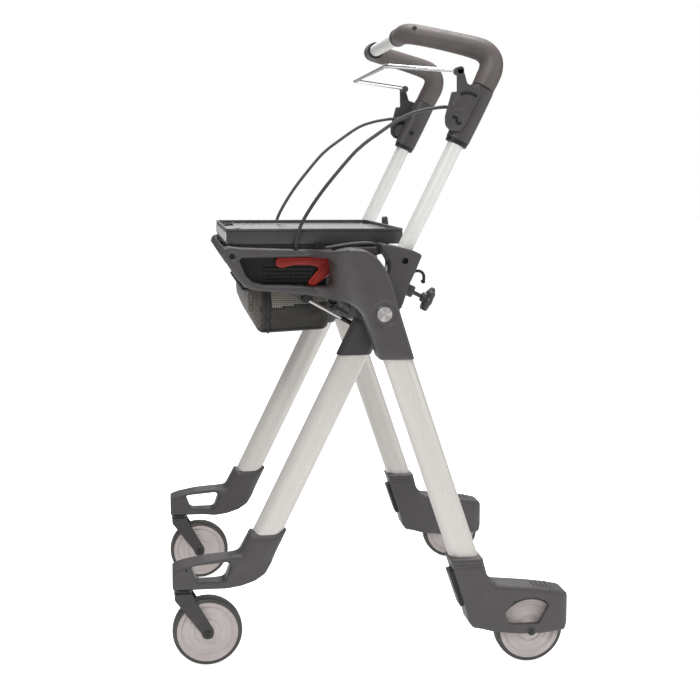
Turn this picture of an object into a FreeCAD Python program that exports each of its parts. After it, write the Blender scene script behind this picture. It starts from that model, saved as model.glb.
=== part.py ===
import FreeCAD, Part
import math
import os
from FreeCAD import Placement, Rotation, Vector

# Rollator walker. Millimetres, +Z up, origin on the floor below the middle of the frame.
# The walker travels toward -X, the user stands at +X; "left" is the user's left, which is -Y.
# Every left-hand piece is the mirror of the right-hand one (+Y), except the folding latch.

# ---- wheels ----
WHEEL_R = 50.0
TYRE_INNER_R = 43.5
TYRE_W = 24.0
AXLE_R = 4.0
AXLE_CLEAR = 0.06
REAR_AXLE_X = 226.8
REAR_WHEEL_Y = 245.0
FRONT_AXLE_X = -233.0
KINGPIN_X = -267.0
KINGPIN_R = 6.0

# ---- frame planes and lines ----
PIVOT_X = 10.0
PIVOT_Z = 510.0
FRONT_Y = 189.0
REAR_Y = 244.0
FRONT_LEAN = 26.0
REAR_LEAN = -18.9
LEG_LONG = 40.0
LEG_SHORT = 28.0
LEG_WALL = 2.0
TUBE_R = 11.0
TUBE_BORE_R = 9.0
SLIDE_CLEAR = 0.06
ARM_Y0 = 153.0
ARM_Y1 = 172.0
HUB_Y0 = 173.6
HUB_Y1 = 214.6
CHEEK_Y0 = 216.0
CHEEK_Y1 = 262.0
CROSS_TUBE_R = 9.5
CABLE_R = 2.5

# ---- tray ----
TRAY_X0 = -198.0
TRAY_X1 = 56.0
TRAY_HALF_W = 163.0
TRAY_Z0 = 599.6
TRAY_Z1 = 622.0
TRAY_WALL = 2.6

# ---- basket ----
BASKET_HALF_W = 147.0
BASKET_Z1 = 537.0
BASKET_SKIN = 2.0

Y_AXIS = Vector(0, 1, 0)
Z_AXIS = Vector(0, 0, 1)
FRONT_DIR = Rotation(Y_AXIS, FRONT_LEAN).multVec(Z_AXIS)
FRONT_CROSS = Rotation(Y_AXIS, FRONT_LEAN).multVec(Vector(1, 0, 0))


def on_front(along, across=0.0, y=FRONT_Y):
    """Point on the front leg's line, along it above the fold pivot and across it toward the user."""
    base = Vector(PIVOT_X, y, PIVOT_Z)
    return base + FRONT_DIR * along + FRONT_CROSS * across


def rounded_wire(corners, y):
    """Closed outline in the XZ plane at y; each corner is (x, z, radius)."""
    count = len(corners)
    pieces = []
    ends = []
    for i in range(count):
        x, z, radius = corners[i]
        here = Vector(x, y, z)
        before = Vector(corners[i - 1][0], y, corners[i - 1][1])
        after = Vector(corners[(i + 1) % count][0], y, corners[(i + 1) % count][1])
        to_before = before - here
        to_after = after - here
        angle = to_before.getAngle(to_after)
        room = 0.48 * min(to_before.Length, to_after.Length)
        setback = min(radius / math.tan(angle / 2.0), room) if angle < math.pi - 1e-3 else 0.0
        if setback < 0.05:
            ends.append((here, here, None))
            continue
        start = here + to_before.normalize() * setback
        stop = here + to_after.normalize() * setback
        bend = setback * math.tan(angle / 2.0)
        middle_dir = (to_before + to_after).normalize()
        middle = here + middle_dir * (bend / math.sin(angle / 2.0) - bend)
        ends.append((start, stop, middle))
    for i in range(count):
        start, stop, middle = ends[i]
        if middle is not None:
            pieces.append(Part.Arc(start, middle, stop).toShape())
        following = ends[(i + 1) % count][0]
        if (following - stop).Length > 1e-4:
            pieces.append(Part.makeLine(stop, following))
    return Part.Wire(pieces)


def plate(corners, y0, y1):
    """Flat plate with a rounded outline, from y0 to y1."""
    face = Part.Face(rounded_wire(corners, y0))
    return face.extrude(Vector(0, y1 - y0, 0))


def soft_edges(shape, radius, y_values):
    """Rounds the rim edges of a plate that lie in the planes y = each value."""
    chosen = []
    for edge in shape.Edges:
        for y in y_values:
            if all(abs(v.Y - y) < 1e-4 for v in edge.Vertexes):
                chosen.append(edge)
    return shape.makeFillet(radius, chosen)


def y_cylinder(x, z, y0, y1, radius):
    return Part.makeCylinder(radius, y1 - y0, Vector(x, y0, z), Y_AXIS)


def ring(x, z, y0, y1, outer, inner):
    return y_cylinder(x, z, y0, y1, outer).cut(y_cylinder(x, z, y0 - 1, y1 + 1, inner))


def rod(start, stop, radius):
    return Part.makeCylinder(radius, (stop - start).Length, start, stop - start)


def stadium(long_side, short_side):
    """Flat-sided oval in the XY plane, long way along X."""
    r = short_side / 2.0
    h = (long_side - short_side) / 2.0
    top = Part.makeLine(Vector(-h, r, 0), Vector(h, r, 0))
    right = Part.Arc(Vector(h, r, 0), Vector(h + r, 0, 0), Vector(h, -r, 0)).toShape()
    low = Part.makeLine(Vector(h, -r, 0), Vector(-h, -r, 0))
    left = Part.Arc(Vector(-h, -r, 0), Vector(-h - r, 0, 0), Vector(-h, r, 0)).toShape()
    return Part.Face(Part.Wire([top, right, low, left]))


def oval_bar(long_side, short_side, base, lean, low, high):
    """Oval bar about a leaning axis through base, from low to high along it."""
    bar = stadium(long_side, short_side).extrude(Vector(0, 0, high - low))
    bar.translate(Vector(0, 0, low))
    bar.Placement = Placement(base, Rotation(Y_AXIS, lean)).multiply(bar.Placement)
    return bar


def oval_tube(long_side, short_side, wall, base, lean, low, high):
    outer = oval_bar(long_side, short_side, base, lean, low, high)
    inner = oval_bar(long_side - 2 * wall, short_side - 2 * wall, base, lean, low - 1, high + 1)
    return outer.cut(inner)


def smooth_tube(points, radius):
    """Round wire or tube following a smooth curve through the points."""
    curve = Part.BSplineCurve()
    curve.interpolate([Vector(*p) for p in points])
    path = Part.Wire([curve.toShape()])
    start = curve.value(curve.FirstParameter)
    tangent = curve.tangent(curve.FirstParameter)[0]
    section = Part.Wire([Part.Circle(start, tangent, radius).toShape()])
    return path.makePipeShell([section], True, True)


def lofted_grip(stations):
    """Solid through round sections; each station is (x, y, z, radius) and faces along the path."""
    wires = []
    for i in range(len(stations)):
        here = Vector(*stations[i][:3])
        before = Vector(*stations[max(i - 1, 0)][:3])
        after = Vector(*stations[min(i + 1, len(stations) - 1)][:3])
        wires.append(Part.Wire([Part.Circle(here, after - before, stations[i][3]).toShape()]))
    return Part.makeLoft(wires, True, False)


def halfspace_box(x0, x1, y0, y1, z0, z1):
    return Part.makeBox(x1 - x0, y1 - y0, z1 - z0, Vector(x0, y0, z0))


def fused(shapes):
    whole = shapes[0]
    for shape in shapes[1:]:
        whole = whole.fuse(shape)
    return whole.removeSplitter()


def mirrored(shape):
    return shape.mirror(Vector(0, 0, 0), Y_AXIS)


os.makedirs("parts", exist_ok=True)


def save(node, shapes):
    """Writes one node; several equal pieces in a node stay separate solids."""
    solids = []
    for shape in shapes:
        solids.extend(shape.Solids)
    whole = solids[0] if len(solids) == 1 else Part.makeCompound(solids)
    whole.exportStep("parts/" + node + ".step")


def save_pair(name, shape):
    """Writes the right-hand piece as modelled and its mirror as the left-hand piece."""
    save(name + "_right", [shape])
    save(name + "_left", [mirrored(shape)])


def save_both(node, shape):
    """Writes the right-hand piece and its mirror as two solids of one node."""
    save(node, [shape, mirrored(shape)])


# ==== front frame: leg, socket, hub core, caster arm ====
leg_base = Vector(PIVOT_X, FRONT_Y, PIVOT_Z)
LEG_TOP = -30.0
LEG_BOTTOM = -394.0
front_leg = oval_tube(LEG_LONG, LEG_SHORT, LEG_WALL, leg_base, FRONT_LEAN, LEG_BOTTOM, LEG_TOP)
save_pair("front_leg", front_leg)

# Black socket that takes the top of the leg; its lower rim is level.
socket = oval_bar(45.0, 31.0, leg_base, FRONT_LEAN, -95.0, -22.0)
socket = socket.cut(oval_bar(LEG_LONG, LEG_SHORT, leg_base, FRONT_LEAN, -110.0, LEG_TOP))
socket = socket.cut(halfspace_box(-120, 80, 150, 240, 380, 446))
BUSH_R = 13.4
LOWER_SLEEVE = (-29.5, -12.0)
UPPER_SLEEVE = (52.0, 86.0)
hub_bore = fused([
    rod(on_front(-100), on_front(LOWER_SLEEVE[1]), BUSH_R),
    rod(on_front(-100), on_front(120), TUBE_R + 0.4),
    rod(on_front(UPPER_SLEEVE[0]), on_front(120), BUSH_R)])
socket = socket.cut(hub_bore)
save_pair("front_socket", socket)

# Hub core: holds the sliding tube, the fold pivot, the height clamp and the accessory socket.
hub = plate(
    [(-25, 498, 8), (-8, 489, 8), (28, 490, 10), (45, 518, 12), (53, 544, 10), (61.5, 562, 8),
     (72, 587, 4), (60, 593, 30), (40, 598.5, 40), (13, 603.5, 3), (13, 597, 3), (26, 578, 15), (25, 562, 8),
     (-8, 540, 10), (-25, 518, 8)],
    HUB_Y0, HUB_Y1)
hub = soft_edges(hub, 2.5, [HUB_Y0, HUB_Y1])
hub = hub.cut(oval_bar(90.0, 60.0, leg_base, FRONT_LEAN, -60.0, -22.0))
CLAMP_ALONG = 44.0
clamp_boss = rod(on_front(CLAMP_ALONG, 12), on_front(CLAMP_ALONG, 38), 8.5)
hub = fused([hub, clamp_boss])
CLAMP_SCREW_R = 4.0
hub = hub.cut(rod(on_front(CLAMP_ALONG, 5), on_front(CLAMP_ALONG, 50), CLAMP_SCREW_R + SLIDE_CLEAR))
hub = hub.cut(hub_bore)
PIVOT_PIN_R = 8.0
INNER_PIN_R = 6.0
hub = hub.cut(y_cylinder(PIVOT_X, PIVOT_Z, 195, 220, PIVOT_PIN_R + 0.05))
hub = hub.cut(y_cylinder(PIVOT_X, PIVOT_Z, 165, 195, INNER_PIN_R + 0.05))
ACCESSORY_X = 47.3
ACCESSORY_Z = 578.9
ACCESSORY_R = 4.5
ACCESSORY_FLOOR = 204.0
hub = hub.cut(y_cylinder(ACCESSORY_X, ACCESSORY_Z, ACCESSORY_FLOOR, 220, ACCESSORY_R))
hub = hub.fuse(y_cylinder(40.5, 515.5, 196, 211, 3.6)).removeSplitter()
hub = hub.cut(hub_bore)
save_pair("front_hub", hub)

# Plastic guide sleeves, one low in the socket and one high in the hub.
def sleeve(low, high):
    return rod(on_front(low), on_front(high), BUSH_R).cut(
        rod(on_front(low - 1), on_front(high + 1), TUBE_R + SLIDE_CLEAR))


lower_sleeve = sleeve(*LOWER_SLEEVE)
upper_sleeve = sleeve(*UPPER_SLEEVE).cut(halfspace_box(0, 100, 150, 230, 590.5, 640))
save("guide_sleeves", [lower_sleeve, upper_sleeve, mirrored(lower_sleeve), mirrored(upper_sleeve)])

# Bag hook behind each hub.
hook = smooth_tube([(61.0, 196, 560.5), (68, 196, 563.5), (75.5, 196, 561), (78, 196, 554), (77.0, 196, 548)], 2.2)
hook = hook.fuse(y_cylinder(76.8, 548.5, 193.6, 198.4, 2.9)).cut(hub)
save_both("bag_hooks", hook)

# Caster arm: collar round the leg, a thin blade reaching forward over an open window, kingpin block.
ARM_MID = 193.0
collar = oval_bar(48.5, 36.0, leg_base, FRONT_LEAN, -412.0, -330.0)
collar = collar.cut(halfspace_box(-260, 0, 150, 240, 195, 260))
collar = collar.cut(halfspace_box(-260, 0, 150, 240, 90, 139.0))
beam = plate(
    [(-281, 147, 3), (-268, 151, 8), (-239, 156, 60), (-192, 159, 30), (-171, 193, 0), (-140, 193, 0),
     (-149, 141, 8), (-163, 128, 12), (-182, 118, 20), (-204, 113.6, 20), (-281, 113.6, 5)],
    ARM_MID - 13.0, ARM_MID + 13.0)
beam = beam.cut(plate([(-256, 148, 4), (-198, 151.5, 6), (-207, 124, 8), (-247, 124, 8)], 170, 215))
beam = soft_edges(beam, 2.5, [ARM_MID - 13.0, ARM_MID + 13.0])
blade = plate(
    [(-281.6, 147, 1.5), (-268, 152, 8), (-239, 157.2, 60), (-193, 160.3, 30), (-176, 184, 12), (-166, 184, 4),
     (-180, 158, 24), (-198, 152.5, 30), (-240, 150.5, 60), (-281.6, 143, 1.5)],
    ARM_MID - 16.5, ARM_MID + 16.5)
caster_arm = fused([collar, beam, blade])
caster_arm = caster_arm.cut(oval_bar(LEG_LONG, LEG_SHORT, leg_base, FRONT_LEAN, LEG_BOTTOM, -300.0))
KING_TOP = 143.0
FORK_TOP = 112.6
caster_arm = caster_arm.cut(
    Part.makeCylinder(KINGPIN_R + AXLE_CLEAR, KING_TOP - 100 + 0.5, Vector(KINGPIN_X, ARM_MID, 100)))
save_pair("caster_arm", caster_arm)

# ==== rear frame: side arm with hub casting, rear leg, brake housing ====
cheek = plate(
    [(-27, 518, 10), (-15.5, 505, 10), (-9, 487, 14), (5, 446.5, 2), (53, 446.5, 2),
     (33, 509, 30), (27, 530, 20), (20, 554, 20), (11, 573, 15), (0, 587, 10), (-16, 597, 12),
     (-36, 598, 20), (-62, 593.5, 20), (-97, 593.5, 0), (-97, 528.7, 0), (-82, 526.5, 20), (-50, 522, 20)],
    ARM_Y0, CHEEK_Y1)
arm = plate(
    [(-207.5, 586, 5), (-205, 595, 4), (-197, 599, 5), (-181, 598, 3), (-178, 594.5, 2), (-96, 593.5, 60), (-60, 593, 20), (-30, 596.5, 10), (33, 596.5, 4),
     (35, 590, 3), (-5, 578, 20), (-8, 540, 10), (-30, 519, 10), (-47, 521, 20), (-82, 526.5, 60),
     (-132, 533.2, 60), (-160, 535.5, 20), (-172.5, 540.5, 14), (-185, 552.5, 30)],
    ARM_Y0, ARM_Y1)
inner_boss = plate([(-38, 522, 4), (-10, 496, 2), (10, 488, 20), (32, 510, 20), (10, 533, 20), (-25, 545, 4)],
                   ARM_Y0, ARM_Y1)
inner_boss = inner_boss.fuse(y_cylinder(PIVOT_X, PIVOT_Z, ARM_Y0, ARM_Y1, 22.0))
window = plate(
    [(-182.5, 581.5, 4), (-54, 582.5, 8), (-50, 541.5, 9), (-75, 540, 20), (-110, 542.5, 60), (-148, 543.5, 20),
     (-162, 547.5, 10), (-170, 555, 14)],
    ARM_Y0 - 5, 232.0)


def plan_prism(points, z0, z1):
    """Prism with an outline given in plan as (x, y): sharp points first and a spline for the tail."""
    line = [Vector(p[0], p[1], z0) for p in points["straight"]]
    curve = Part.BSplineCurve()
    curve.interpolate([Vector(p[0], p[1], z0) for p in points["curve"]])
    edges = [Part.makeLine(line[i], line[i + 1]) for i in range(len(line) - 1)]
    edges.append(curve.toShape())
    return Part.Face(Part.Wire(edges)).extrude(Vector(0, 0, z1 - z0))


# The casting swings outward from the arm's plane to the hub's outer face in a smooth S.
shoulder_plan = plan_prism(
    {"straight": [(-3, CHEEK_Y1), (90, CHEEK_Y1), (90, ARM_Y0 - 1), (-210, ARM_Y0 - 1), (-210, ARM_Y1),
                  (-92, ARM_Y1)],
     "curve": [(-92, ARM_Y1), (-80, 175), (-68, 188), (-55, 213), (-40, 240), (-22, 257), (-3, CHEEK_Y1)]},
    430, 620)
# Room between outer and inner cheek for the front hub through the whole fold.
slot = plate(
    [(-42, 430, 0), (-42, 520, 0), (-44, 540, 30), (-58, 606, 0), (-58, 630, 0), (120, 630, 0), (120, 430, 0)],
    ARM_Y1, CHEEK_Y0)
side_arm = fused([cheek, arm])
side_arm = side_arm.common(shoulder_plan)
inner_clear = plate([(-32, 430, 0), (-32, 596.5, 0), (-32, 640, 0), (120, 640, 0), (120, 430, 0)],
                    ARM_Y0 - 5, ARM_Y1)
side_arm = side_arm.cut(inner_clear).cut(slot)
side_arm = fused([side_arm, arm.common(shoulder_plan), inner_boss])
side_arm = side_arm.cut(window)
rear_base = Vector(PIVOT_X, REAR_Y, PIVOT_Z)
side_arm = side_arm.cut(oval_bar(LEG_LONG, LEG_SHORT, rear_base, REAR_LEAN, -110.0, -38.0))
CAP_R = 10.3
RECESS_R = 17.0
side_arm = side_arm.cut(ring(PIVOT_X, PIVOT_Z, CHEEK_Y1 - 1.6, CHEEK_Y1 + 5, RECESS_R, CAP_R + 2.0))
side_arm = side_arm.cut(y_cylinder(PIVOT_X, PIVOT_Z, 210, 270, PIVOT_PIN_R))
side_arm = side_arm.cut(y_cylinder(PIVOT_X, PIVOT_Z, CHEEK_Y1 - 4, 270, CAP_R))
side_arm = side_arm.cut(y_cylinder(PIVOT_X, PIVOT_Z, 140, 180, INNER_PIN_R))
BAR_X = -200.0
BAR_Z = 590.5
BAR_R = 3.6
side_arm = side_arm.cut(y_cylinder(BAR_X, BAR_Z, 150, 168, BAR_R))
# Lug for the folding strut's pin, under the arm, and the hole the brake cable runs into.
STRUT_X = -86.5
STRUT_Z = 523.0
STRUT_Y = 165.5
strut_lug = plate([(-98, 534, 2), (-96, 517, 7), (-77, 515, 7), (-72, 534, 2)], ARM_Y0 + 1, 160.0)
side_arm = fused([side_arm, strut_lug])
STRUT_PIN_R = 3.0
side_arm = side_arm.cut(y_cylinder(STRUT_X, STRUT_Z, 150, 175, STRUT_PIN_R))
side_arm = side_arm.cut(halfspace_box(-99, -72, 160.6, ARM_Y1 + 1, 500, 531))
CABLE_X = -101.0
CABLE_Y = 168.2
side_arm = side_arm.cut(y_cylinder(-190.5, 583.6, ARM_Y1 - 3, ARM_Y1 + 2, 3.2))
side_arm = side_arm.cut(Part.makeCylinder(3.0, 12.0, Vector(CABLE_X, CABLE_Y, 584)))
LATCH_X = -46.5
LATCH_Z = 572.0
LATCH_PIN_R = 2.5
latch_pin = y_cylinder(LATCH_X, LATCH_Z, -ARM_Y0, -144.0, LATCH_PIN_R)
latch_pin = latch_pin.fuse(y_cylinder(LATCH_X, LATCH_Z, -146.2, -144.0, 4.5))
save("side_arm_right", [side_arm])
save("side_arm_left", [mirrored(side_arm).fuse(latch_pin)])

REAR_TOP = -40.0
REAR_BOTTOM = -376.0
rear_leg = oval_tube(LEG_LONG, LEG_SHORT, LEG_WALL, rear_base, REAR_LEAN, REAR_BOTTOM, REAR_TOP)
save_pair("rear_leg", rear_leg)

# Brake housing: collar on the leg, a long hood over the wheel, open below the wheel's middle.
HOUSE_Y0 = 222.5
HOUSE_Y1 = 267.0
HOUSE_OUTLINE = [
    (103.5, 170, 6), (150.5, 170, 6), (160, 137, 12), (171, 120.5, 14), (223, 115, 60), (258, 109.5, 20),
    (272, 105, 9), (281, 96, 9), (284, 60, 10), (279, 48.5, 6), (245, 45, 30), (212, 45.5, 30),
    (172, 50.5, 30), (155, 55.5, 10), (141, 58.5, 7), (135.5, 66, 8), (127, 98, 30)]
house = plate(
    HOUSE_OUTLINE, HOUSE_Y0, HOUSE_Y1)
house = soft_edges(house, 4.5, [HOUSE_Y0, HOUSE_Y1])
house = house.cut(halfspace_box(50, 200, 200, 300, 161.5, 200))
plan_block = halfspace_box(60, 283, HOUSE_Y0, HOUSE_Y1, 30, 200)
tail_edges = [e for e in plan_block.Edges if all(abs(v.X - 283) < 1e-4 for v in e.Vertexes)
              and abs(e.Vertexes[0].Z - e.Vertexes[1].Z) > 1.0]
house = house.common(plan_block.makeFillet(13.0, tail_edges))
# Moulded anti-slip ribs across the tail of the hood, where a foot tips the walker.
for x in range(226, 268, 7):
    rib_top = 116.6 - 0.004 * (x - 222) ** 2
    house = house.fuse(halfspace_box(x, x + 2.6, 229, 260.5, rib_top - 8, rib_top))
house = house.removeSplitter()
wheel_room = y_cylinder(REAR_AXLE_X, WHEEL_R, REAR_WHEEL_Y - 14, REAR_WHEEL_Y + 14, WHEEL_R + 3.5)
house = house.cut(wheel_room)
side_opening = plate(
    [(187, 80, 10), (199, 95, 8), (216, 100, 30), (232, 100, 20), (246, 95, 8), (253, 88, 6), (238, 60, 8),
     (193, 61, 8)],
    REAR_WHEEL_Y, 280)
house = house.cut(side_opening)
house = house.cut(oval_bar(LEG_LONG, LEG_SHORT, rear_base, REAR_LEAN, REAR_BOTTOM, -300.0))
AXLE_Y0 = HOUSE_Y0 + 2.0
house = house.cut(y_cylinder(REAR_AXLE_X, WHEEL_R, AXLE_Y0, 270, AXLE_R))

# Brake shoe: a block in a pocket of the housing that is pulled straight at the wheel's axle.
SHOE_LEAN = -70.0
SHOE_FACE_R = 52.0
SHOE_DEPTH = 10.0
SHOE_PLAY = 0.5
SHOE_ROOM = 3.0
rear_axle_point = Vector(REAR_AXLE_X, REAR_WHEEL_Y, WHEEL_R)


def shoe_block(half_w, half_h, near, far):
    block = halfspace_box(-half_h, half_h, -half_w, half_w, near, far)
    block.Placement = Placement(rear_axle_point, Rotation(Y_AXIS, SHOE_LEAN))
    return block


house = house.cut(shoe_block(8 + SHOE_PLAY, 7 + SHOE_PLAY, 50, SHOE_FACE_R + SHOE_DEPTH + SHOE_ROOM))
save_pair("rear_housing", house)
save_pair("brake_shoe", shoe_block(8, 7, SHOE_FACE_R, SHOE_FACE_R + SHOE_DEPTH))

# Black cover strip down the front of each housing, over the brake adjuster.
strip = plate([(106.2, 139.5, 1.5), (120, 143.5, 0), (140, 92, 0), (124.0, 88, 1.5)], 233, 256)
save_both("adjuster_covers", strip.cut(plate(HOUSE_OUTLINE, HOUSE_Y0, HOUSE_Y1)))

# Rear axles: shouldered pins pressed into both walls of the housing.
rear_axle = y_cylinder(REAR_AXLE_X, WHEEL_R, AXLE_Y0, HOUSE_Y1 + 0.2, AXLE_R)
rear_axle = rear_axle.fuse(y_cylinder(REAR_AXLE_X, WHEEL_R, HOUSE_Y1, HOUSE_Y1 + 1.6, 4.6))
save_both("rear_axles", rear_axle)

# Cross members of the rear frame.
PIN_END = 177.2
main_tube = fused([y_cylinder(PIVOT_X, PIVOT_Z, -ARM_Y0, ARM_Y0, 9.5),
                   y_cylinder(PIVOT_X, PIVOT_Z, -PIN_END, PIN_END, INNER_PIN_R)])
save("main_cross_tube", [main_tube.cut(y_cylinder(PIVOT_X, PIVOT_Z, -140, 140, 7.5))])
save("carry_bar", [y_cylinder(BAR_X, BAR_Z, -168, 168, BAR_R)])

# Fold pivots: an outer bolt with a round stainless head on each side; the cross tube's ends are the inner pins.
outer_bolt = y_cylinder(PIVOT_X, PIVOT_Z, 201.5, CHEEK_Y1 - 4, PIVOT_PIN_R)
outer_bolt = outer_bolt.fuse(y_cylinder(PIVOT_X, PIVOT_Z, CHEEK_Y1 - 4, CHEEK_Y1 + 0.8, CAP_R))
save_both("pivot_bolts", outer_bolt)

# Folding strut: an eye on the arm, a rod that slides through a loose guide on the front socket.
GUIDE_X = 0.0
GUIDE_Z = 475.0
strut_pin_point = Vector(STRUT_X, STRUT_Y, STRUT_Z)
guide_point = Vector(GUIDE_X, STRUT_Y, GUIDE_Z)
strut_dir = (guide_point - strut_pin_point).normalize()
STRUT_LENGTH = 128.0
strut = y_cylinder(STRUT_X, STRUT_Z, 161.0, 169.8, 6.2)
strut = fused([strut, rod(strut_pin_point, strut_pin_point + strut_dir * STRUT_LENGTH, 3.0)])
strut = strut.cut(y_cylinder(STRUT_X, STRUT_Z, 150, 175, STRUT_PIN_R + 0.05))
save_pair("fold_strut", strut)
strut_pin = y_cylinder(STRUT_X, STRUT_Z, ARM_Y0 + 1, 170.0, STRUT_PIN_R)
strut_pin = strut_pin.fuse(y_cylinder(STRUT_X, STRUT_Z, 170.0, 171.8, 5.0))
save_both("strut_pins", strut_pin)
guide_dir = Vector(0.711, 0, -0.703)
guide = rod(guide_point - guide_dir * 1.5, guide_point + guide_dir * 1.5, 8.0)
guide = guide.fuse(y_cylinder(GUIDE_X, GUIDE_Z, 167.0, 173.5, 4.5))
guide = guide.cut(rod(guide_point - guide_dir * 9, guide_point + guide_dir * 9, 5.2))
save_both("strut_guides", guide)

# Rails and side clips that seat the tray on the arms.
rail = plate([(-196, TRAY_Z0, 0), (34, TRAY_Z0, 0), (34, 590, 0), (-196, 590, 0)], ARM_Y0 + 1, TRAY_HALF_W - 0.1)
rail = rail.cut(side_arm)
clip = plate([(-74, 602, 2), (-58, 602, 2), (-58, 590, 0), (-74, 590, 0)], TRAY_HALF_W + 0.6, 170.0)
clip_foot = halfspace_box(-74, -58, TRAY_HALF_W - 0.1, TRAY_HALF_W + 0.6, 590, TRAY_Z0)
save_both("tray_rails", fused([rail, clip.cut(side_arm), clip_foot.cut(side_arm)]))

# Basket: bent-wire frame pegged to the arms, and a sagging fabric tub with the true outer shape.
def bent_path(points, radius, closed=False):
    """Wire of straight runs with rounded corners through 3-D points."""
    count = len(points)
    spots = [Vector(*p) for p in points]
    runs = []
    for i in range(count):
        here = spots[i]
        if not closed and i in (0, count - 1):
            runs.append((here, here, None))
            continue
        back = (spots[i - 1] - here).normalize()
        ahead = (spots[(i + 1) % count] - here).normalize()
        angle = back.getAngle(ahead)
        setback = radius / math.tan(angle / 2.0)
        middle = here + (back + ahead).normalize() * (radius / math.sin(angle / 2.0) - radius)
        runs.append((here + back * setback, here + ahead * setback, middle))
    edges = []
    for i in range(count):
        start, stop, middle = runs[i]
        if middle is not None:
            edges.append(Part.Arc(start, middle, stop).toShape())
        if i < count - 1 or closed:
            following = runs[(i + 1) % count][0]
            edges.append(Part.makeLine(stop, following))
    return Part.Wire(edges)


def bent_bar(points, radius, bend, closed=False):
    path = bent_path(points, bend, closed)
    first = path.OrderedEdges[-1] if closed else path.OrderedEdges[0]
    start = first.valueAt(first.LastParameter if closed else first.FirstParameter)
    tangent = first.tangentAt(first.LastParameter if closed else first.FirstParameter)
    section = Part.Wire([Part.Circle(start, tangent, radius).toShape()])
    return path.makePipeShell([section], True, True)


BASKET_FRAME_R = 2.6
BASKET_FRAME_Y = 150.0
BASKET_FRAME_Z = 535.6
BASKET_FRAME_X0 = -174.0
BASKET_FRAME_X1 = -49.5
frame_loop = bent_bar(
    [(-117, BASKET_FRAME_Y, BASKET_FRAME_Z), (BASKET_FRAME_X1, BASKET_FRAME_Y, BASKET_FRAME_Z),
     (BASKET_FRAME_X1, -BASKET_FRAME_Y, BASKET_FRAME_Z), (BASKET_FRAME_X0, -BASKET_FRAME_Y, BASKET_FRAME_Z),
     (BASKET_FRAME_X0, BASKET_FRAME_Y, BASKET_FRAME_Z), (-117, BASKET_FRAME_Y, BASKET_FRAME_Z)],
    BASKET_FRAME_R, 6.0)
pegs = [y_cylinder(x, BASKET_FRAME_Z, BASKET_FRAME_Y, ARM_Y0, 2.2) for x in (-128, -66)]
save("basket_frame", [fused([frame_loop] + pegs + [mirrored(p) for p in pegs])])


def tub(grow, y_half, top):
    return plate(
        [(-169 - grow, top, 1), (-169 - grow, 512, 40), (-161 - grow, 486, 20), (-147 - grow, 470 - grow, 12),
         (-100, 469.5 - grow, 80), (-58 + grow, 474 - grow, 10), (-54 + grow * 0.5, 500, 60),
         (-57.5 + grow * 0.2, top, 1)],
        -y_half, y_half)


basket = tub(0.0, BASKET_HALF_W - 0.3, BASKET_Z1).cut(tub(-BASKET_SKIN, BASKET_HALF_W - BASKET_SKIN - 0.3, 560))
save("basket_body", [basket])

# Side panels with louvres behind the arms' windows, and on the left the red folding latch lever.
PANEL_Y0 = 139.0
PANEL_Y1 = 142.0
panel = plate([(-164, 541, 4), (-54, 541, 4), (-54, 590, 4), (-186, 590, 4), (-186, 574, 4)], PANEL_Y0, PANEL_Y1)
for z in (545.0, 551.0, 557.0, 563.0):
    panel = panel.fuse(halfspace_box(-145, -75, PANEL_Y1 - 1, 145.4, z, z + 2.2))
for x in (-145.0, -104.0, -77.2):
    panel = panel.fuse(halfspace_box(x, x + 2.2, PANEL_Y1 - 1, 145.4, 545.0, 565.2))
for x in (-158.0, -98.0):
    panel = panel.fuse(halfspace_box(x, x + 10, PANEL_Y1 - 1, ARM_Y0, 541.0, 543.4))
save_both("side_panels", panel.removeSplitter())
lever = plate([(-128, 581.5, 7.5), (-128, 565.5, 7.5), (-62, 565, 4), (-85, 541, 5), (-71, 538.5, 5),
               (-42, 563, 8), (-40, 580, 7)], -152.4, -146.4)
lever = soft_edges(lever, 1.6, [-152.4, -146.4])
lever = lever.cut(y_cylinder(LATCH_X, LATCH_Z, -160, -140, LATCH_PIN_R + 0.05))
save("latch_lever", [lever])
# ==== tray ====
def rounded_block(x0, x1, half_y, z0, z1, radius):
    block = halfspace_box(x0, x1, -half_y, half_y, z0, z1)
    upright = [e for e in block.Edges if abs(e.Vertexes[0].Z - e.Vertexes[1].Z) > 1.0]
    return block.makeFillet(radius, upright)


tray = rounded_block(TRAY_X0, TRAY_X1, TRAY_HALF_W, TRAY_Z0, TRAY_Z1, 14.0)
under_edges = [e for e in tray.Edges if all(abs(v.Z - TRAY_Z0) < 1e-4 for v in e.Vertexes)]
tray = tray.makeFillet(2.0, under_edges)
TRAY_FLOOR = 615.6
tray = tray.cut(rounded_block(TRAY_X0 + TRAY_WALL, TRAY_X1 - TRAY_WALL, TRAY_HALF_W - TRAY_WALL,
                              TRAY_FLOOR, TRAY_Z1 + 5, 14.0 - TRAY_WALL))
tray = tray.cut(rounded_block(TRAY_X0 + TRAY_WALL, TRAY_X1 - TRAY_WALL, TRAY_HALF_W - TRAY_WALL,
                              TRAY_Z0 - 5, TRAY_FLOOR - 2.4, 14.0 - TRAY_WALL))
tab = plate([(53.6, 606, 0.5), (53.6, 632, 2), (59.5, 634, 2), (61.5, 622, 2), (56.5, 606, 1)], -9, 9)
save("tray", [fused([tray, tab])])

# ==== handlebar: sliding tube, brake housing, grip, cross tube ====
TUBE_BOTTOM = -150.0
TUBE_TOP = 306.0
upper_tube = rod(on_front(TUBE_BOTTOM), on_front(TUBE_TOP), TUBE_R)
upper_tube = upper_tube.cut(rod(on_front(TUBE_BOTTOM - 1), on_front(TUBE_TOP + 1), TUBE_BORE_R))
save_pair("upper_tube", upper_tube)

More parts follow.
